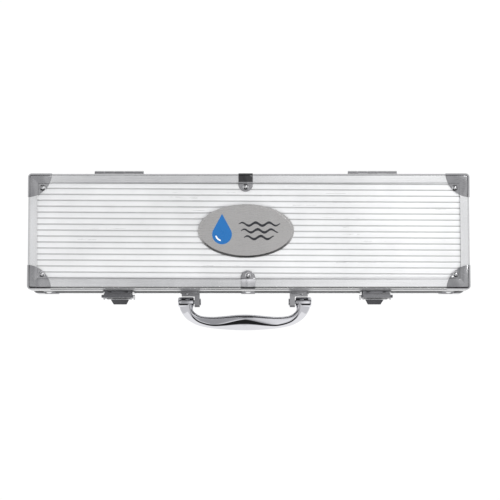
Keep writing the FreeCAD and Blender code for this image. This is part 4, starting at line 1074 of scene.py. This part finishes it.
# ---- the rest of the case --------------------------------
# by the body they ride on: node, its material, the millimetres that its edges are rounded by
FIXED_NODES = [
    ("lid", [
        ("lid_rim_frame", "lid_rim", 0.3),
        ("lid_corner_caps", "cap_steel", 0.35),
        ("lid_edge_clips", "clip_steel", 0.3),
        ("lid_rivets", "rivet_steel", 0.15),
        ("latch_keepers", "latch_steel", 0.2),
        ("hinge_lid_leaves", "hinge_steel", 0.2),
        ("lid_lining", "black_lining", 0.4),
    ]),
    ("base", [
        ("base_rim_frame", "base_rim", 0.3),
        ("base_corner_caps", "cap_steel", 0.35),
        ("base_edge_clips", "cap_steel", 0.3),
        ("base_rivets", "rivet_steel", 0.15),
        ("hinge_base_leaves", "hinge_steel", 0.2),
        ("hinge_pins", "pin_steel", 0.3),
        ("base_lining", "black_lining", 0.4),
        ("latch_plates", "latch_steel", 0.2),
        ("latch_lever_pins", "pin_steel", 0.25),
        ("handle_brackets", "bracket_steel", 0.5),
        ("handle_pins", "pin_steel", 0.4),
    ]),
    ("latch_left_lever", [("latch_left_hook_pin", "pin_steel", 0.25)]),
    ("latch_right_lever", [("latch_right_hook_pin", "pin_steel", 0.25)]),
    ("base", [
        ("comparator_scales", "colour_scale", 0.1),
        ("reagent_liquids", "reagent_liquid", 0.2),
        ("reagent_bottles", "bottle_plastic", 0.4),
        ("sample_vials", "vial_glass", 0.3),
        ("meter_front_shell", "meter_white", 0.35),
        ("meter_back_shell", "meter_blue", 0.35),
        ("meter_screen", "meter_window", 0.2),
        ("meter_electrodes", "probe_black", 0.3),
        ("meter_cells", "cell_steel", 0.3),
        ("meter_circuit_board", "board_green", 0.1),
        ("meter_display", "display_grey", 0.2),
    ]),
]
# the pieces that are a body of their own
LOOSE_NODES = [
    ("reagent_cap_1", "cap_red", 0.25),
    ("reagent_cap_2", "cap_yellow", 0.25),
    ("reagent_cap_3", "cap_blue", 0.25),
    ("reagent_cap_4", "cap_green", 0.25),
    ("comparator_cap_1", "cap_red", 0.25),
    ("comparator_cap_2", "cap_yellow", 0.25),
    ("vial_cap_1", "vial_cap_black", 0.25),
    ("vial_cap_2", "vial_cap_black", 0.25),
    ("meter_power_button", "button_rubber", 0.2),
    ("meter_hold_button", "button_rubber", 0.2),
    ("meter_battery_cap", "meter_blue", 0.3),
    ("meter_probe_cap", "meter_blue", 0.4),
]
# the record's slot of a material that goes by another name
SLOTS = {"bracket_steel": "handle_chrome", "lid_rim": "rail_aluminium", "base_rim": "rail_aluminium",
         "clip_steel": "cap_steel", "hinge_steel": "latch_steel"}
# painted reflection on the lid's clips: tone by distance in from the clip's outer side, in millimetres:
# front clip, back clip
CLIP_PAINTED_REFLECTION = {-1: [(0.0, 0.3), (1.0, 0.5), (1.8, 1.5), (6.0, 1.6), (8.2, 2.2), (9.4, 2.2), (10.2, 1.0)],
              1: [(0.0, 0.2), (8.6, 0.2), (9.4, 1.0)]}


def clip_reflection_painted(obj):
    """Painted reflection on the lid's two clips: the back clip dark, the front clip with bright bands.
    """
    ys = [v.co.y for v in obj.data.vertices]
    ends = {-1: min(ys), 1: max(ys)}
    bm = bmesh.new()
    bm.from_mesh(obj.data)
    for side, steps in CLIP_PAINTED_REFLECTION.items():
        for inward, tone in steps[1:]:
            cut = (0, ends[side] - side * inward * MM, 0)
            geom = bm.verts[:] + bm.edges[:] + bm.faces[:]
            bmesh.ops.bisect_plane(bm, geom=geom, plane_co=cut, plane_no=(0, 1, 0))
    painted_light = bm.verts.layers.float_color.new("tone")
    for v in bm.verts:
        side = -1 if v.co.y < CASE_MID.y else 1
        inward = abs(v.co.y - ends[side]) / MM
        tone = CLIP_PAINTED_REFLECTION[side][-1][1]
        for (a, low), (b, high) in zip(CLIP_PAINTED_REFLECTION[side], CLIP_PAINTED_REFLECTION[side][1:]):
            if a <= inward <= b:
                tone = low + (high - low) * (inward - a) / (b - a)
                break
        v[painted_light] = (tone, tone, tone, 1)
    bm.to_mesh(obj.data)
    bm.free()
    shade(obj.data)


def add_hard_parts():
    """Every other piece: its CAD shape with softened edges."""
    rows = [(body, *row) for body, fixed in FIXED_NODES for row in fixed]
    rows += [(row[0], *row) for row in LOOSE_NODES]
    for body, node, mat, width in rows:
        piece = softened(node, width, flat=mat != "cap_steel")
        if mat == "clip_steel":
            clip_reflection_painted(piece)
        place(piece, body, mat, node, slot=SLOTS.get(mat))


add_camera()
add_floor()
add_light()
add_panels()
add_rails()
add_badge()
add_handle()
add_latches()
add_lid_foam()
add_tray()
add_comparator()
add_sleeves()
add_fill_lines()
add_digits()
add_hard_parts()
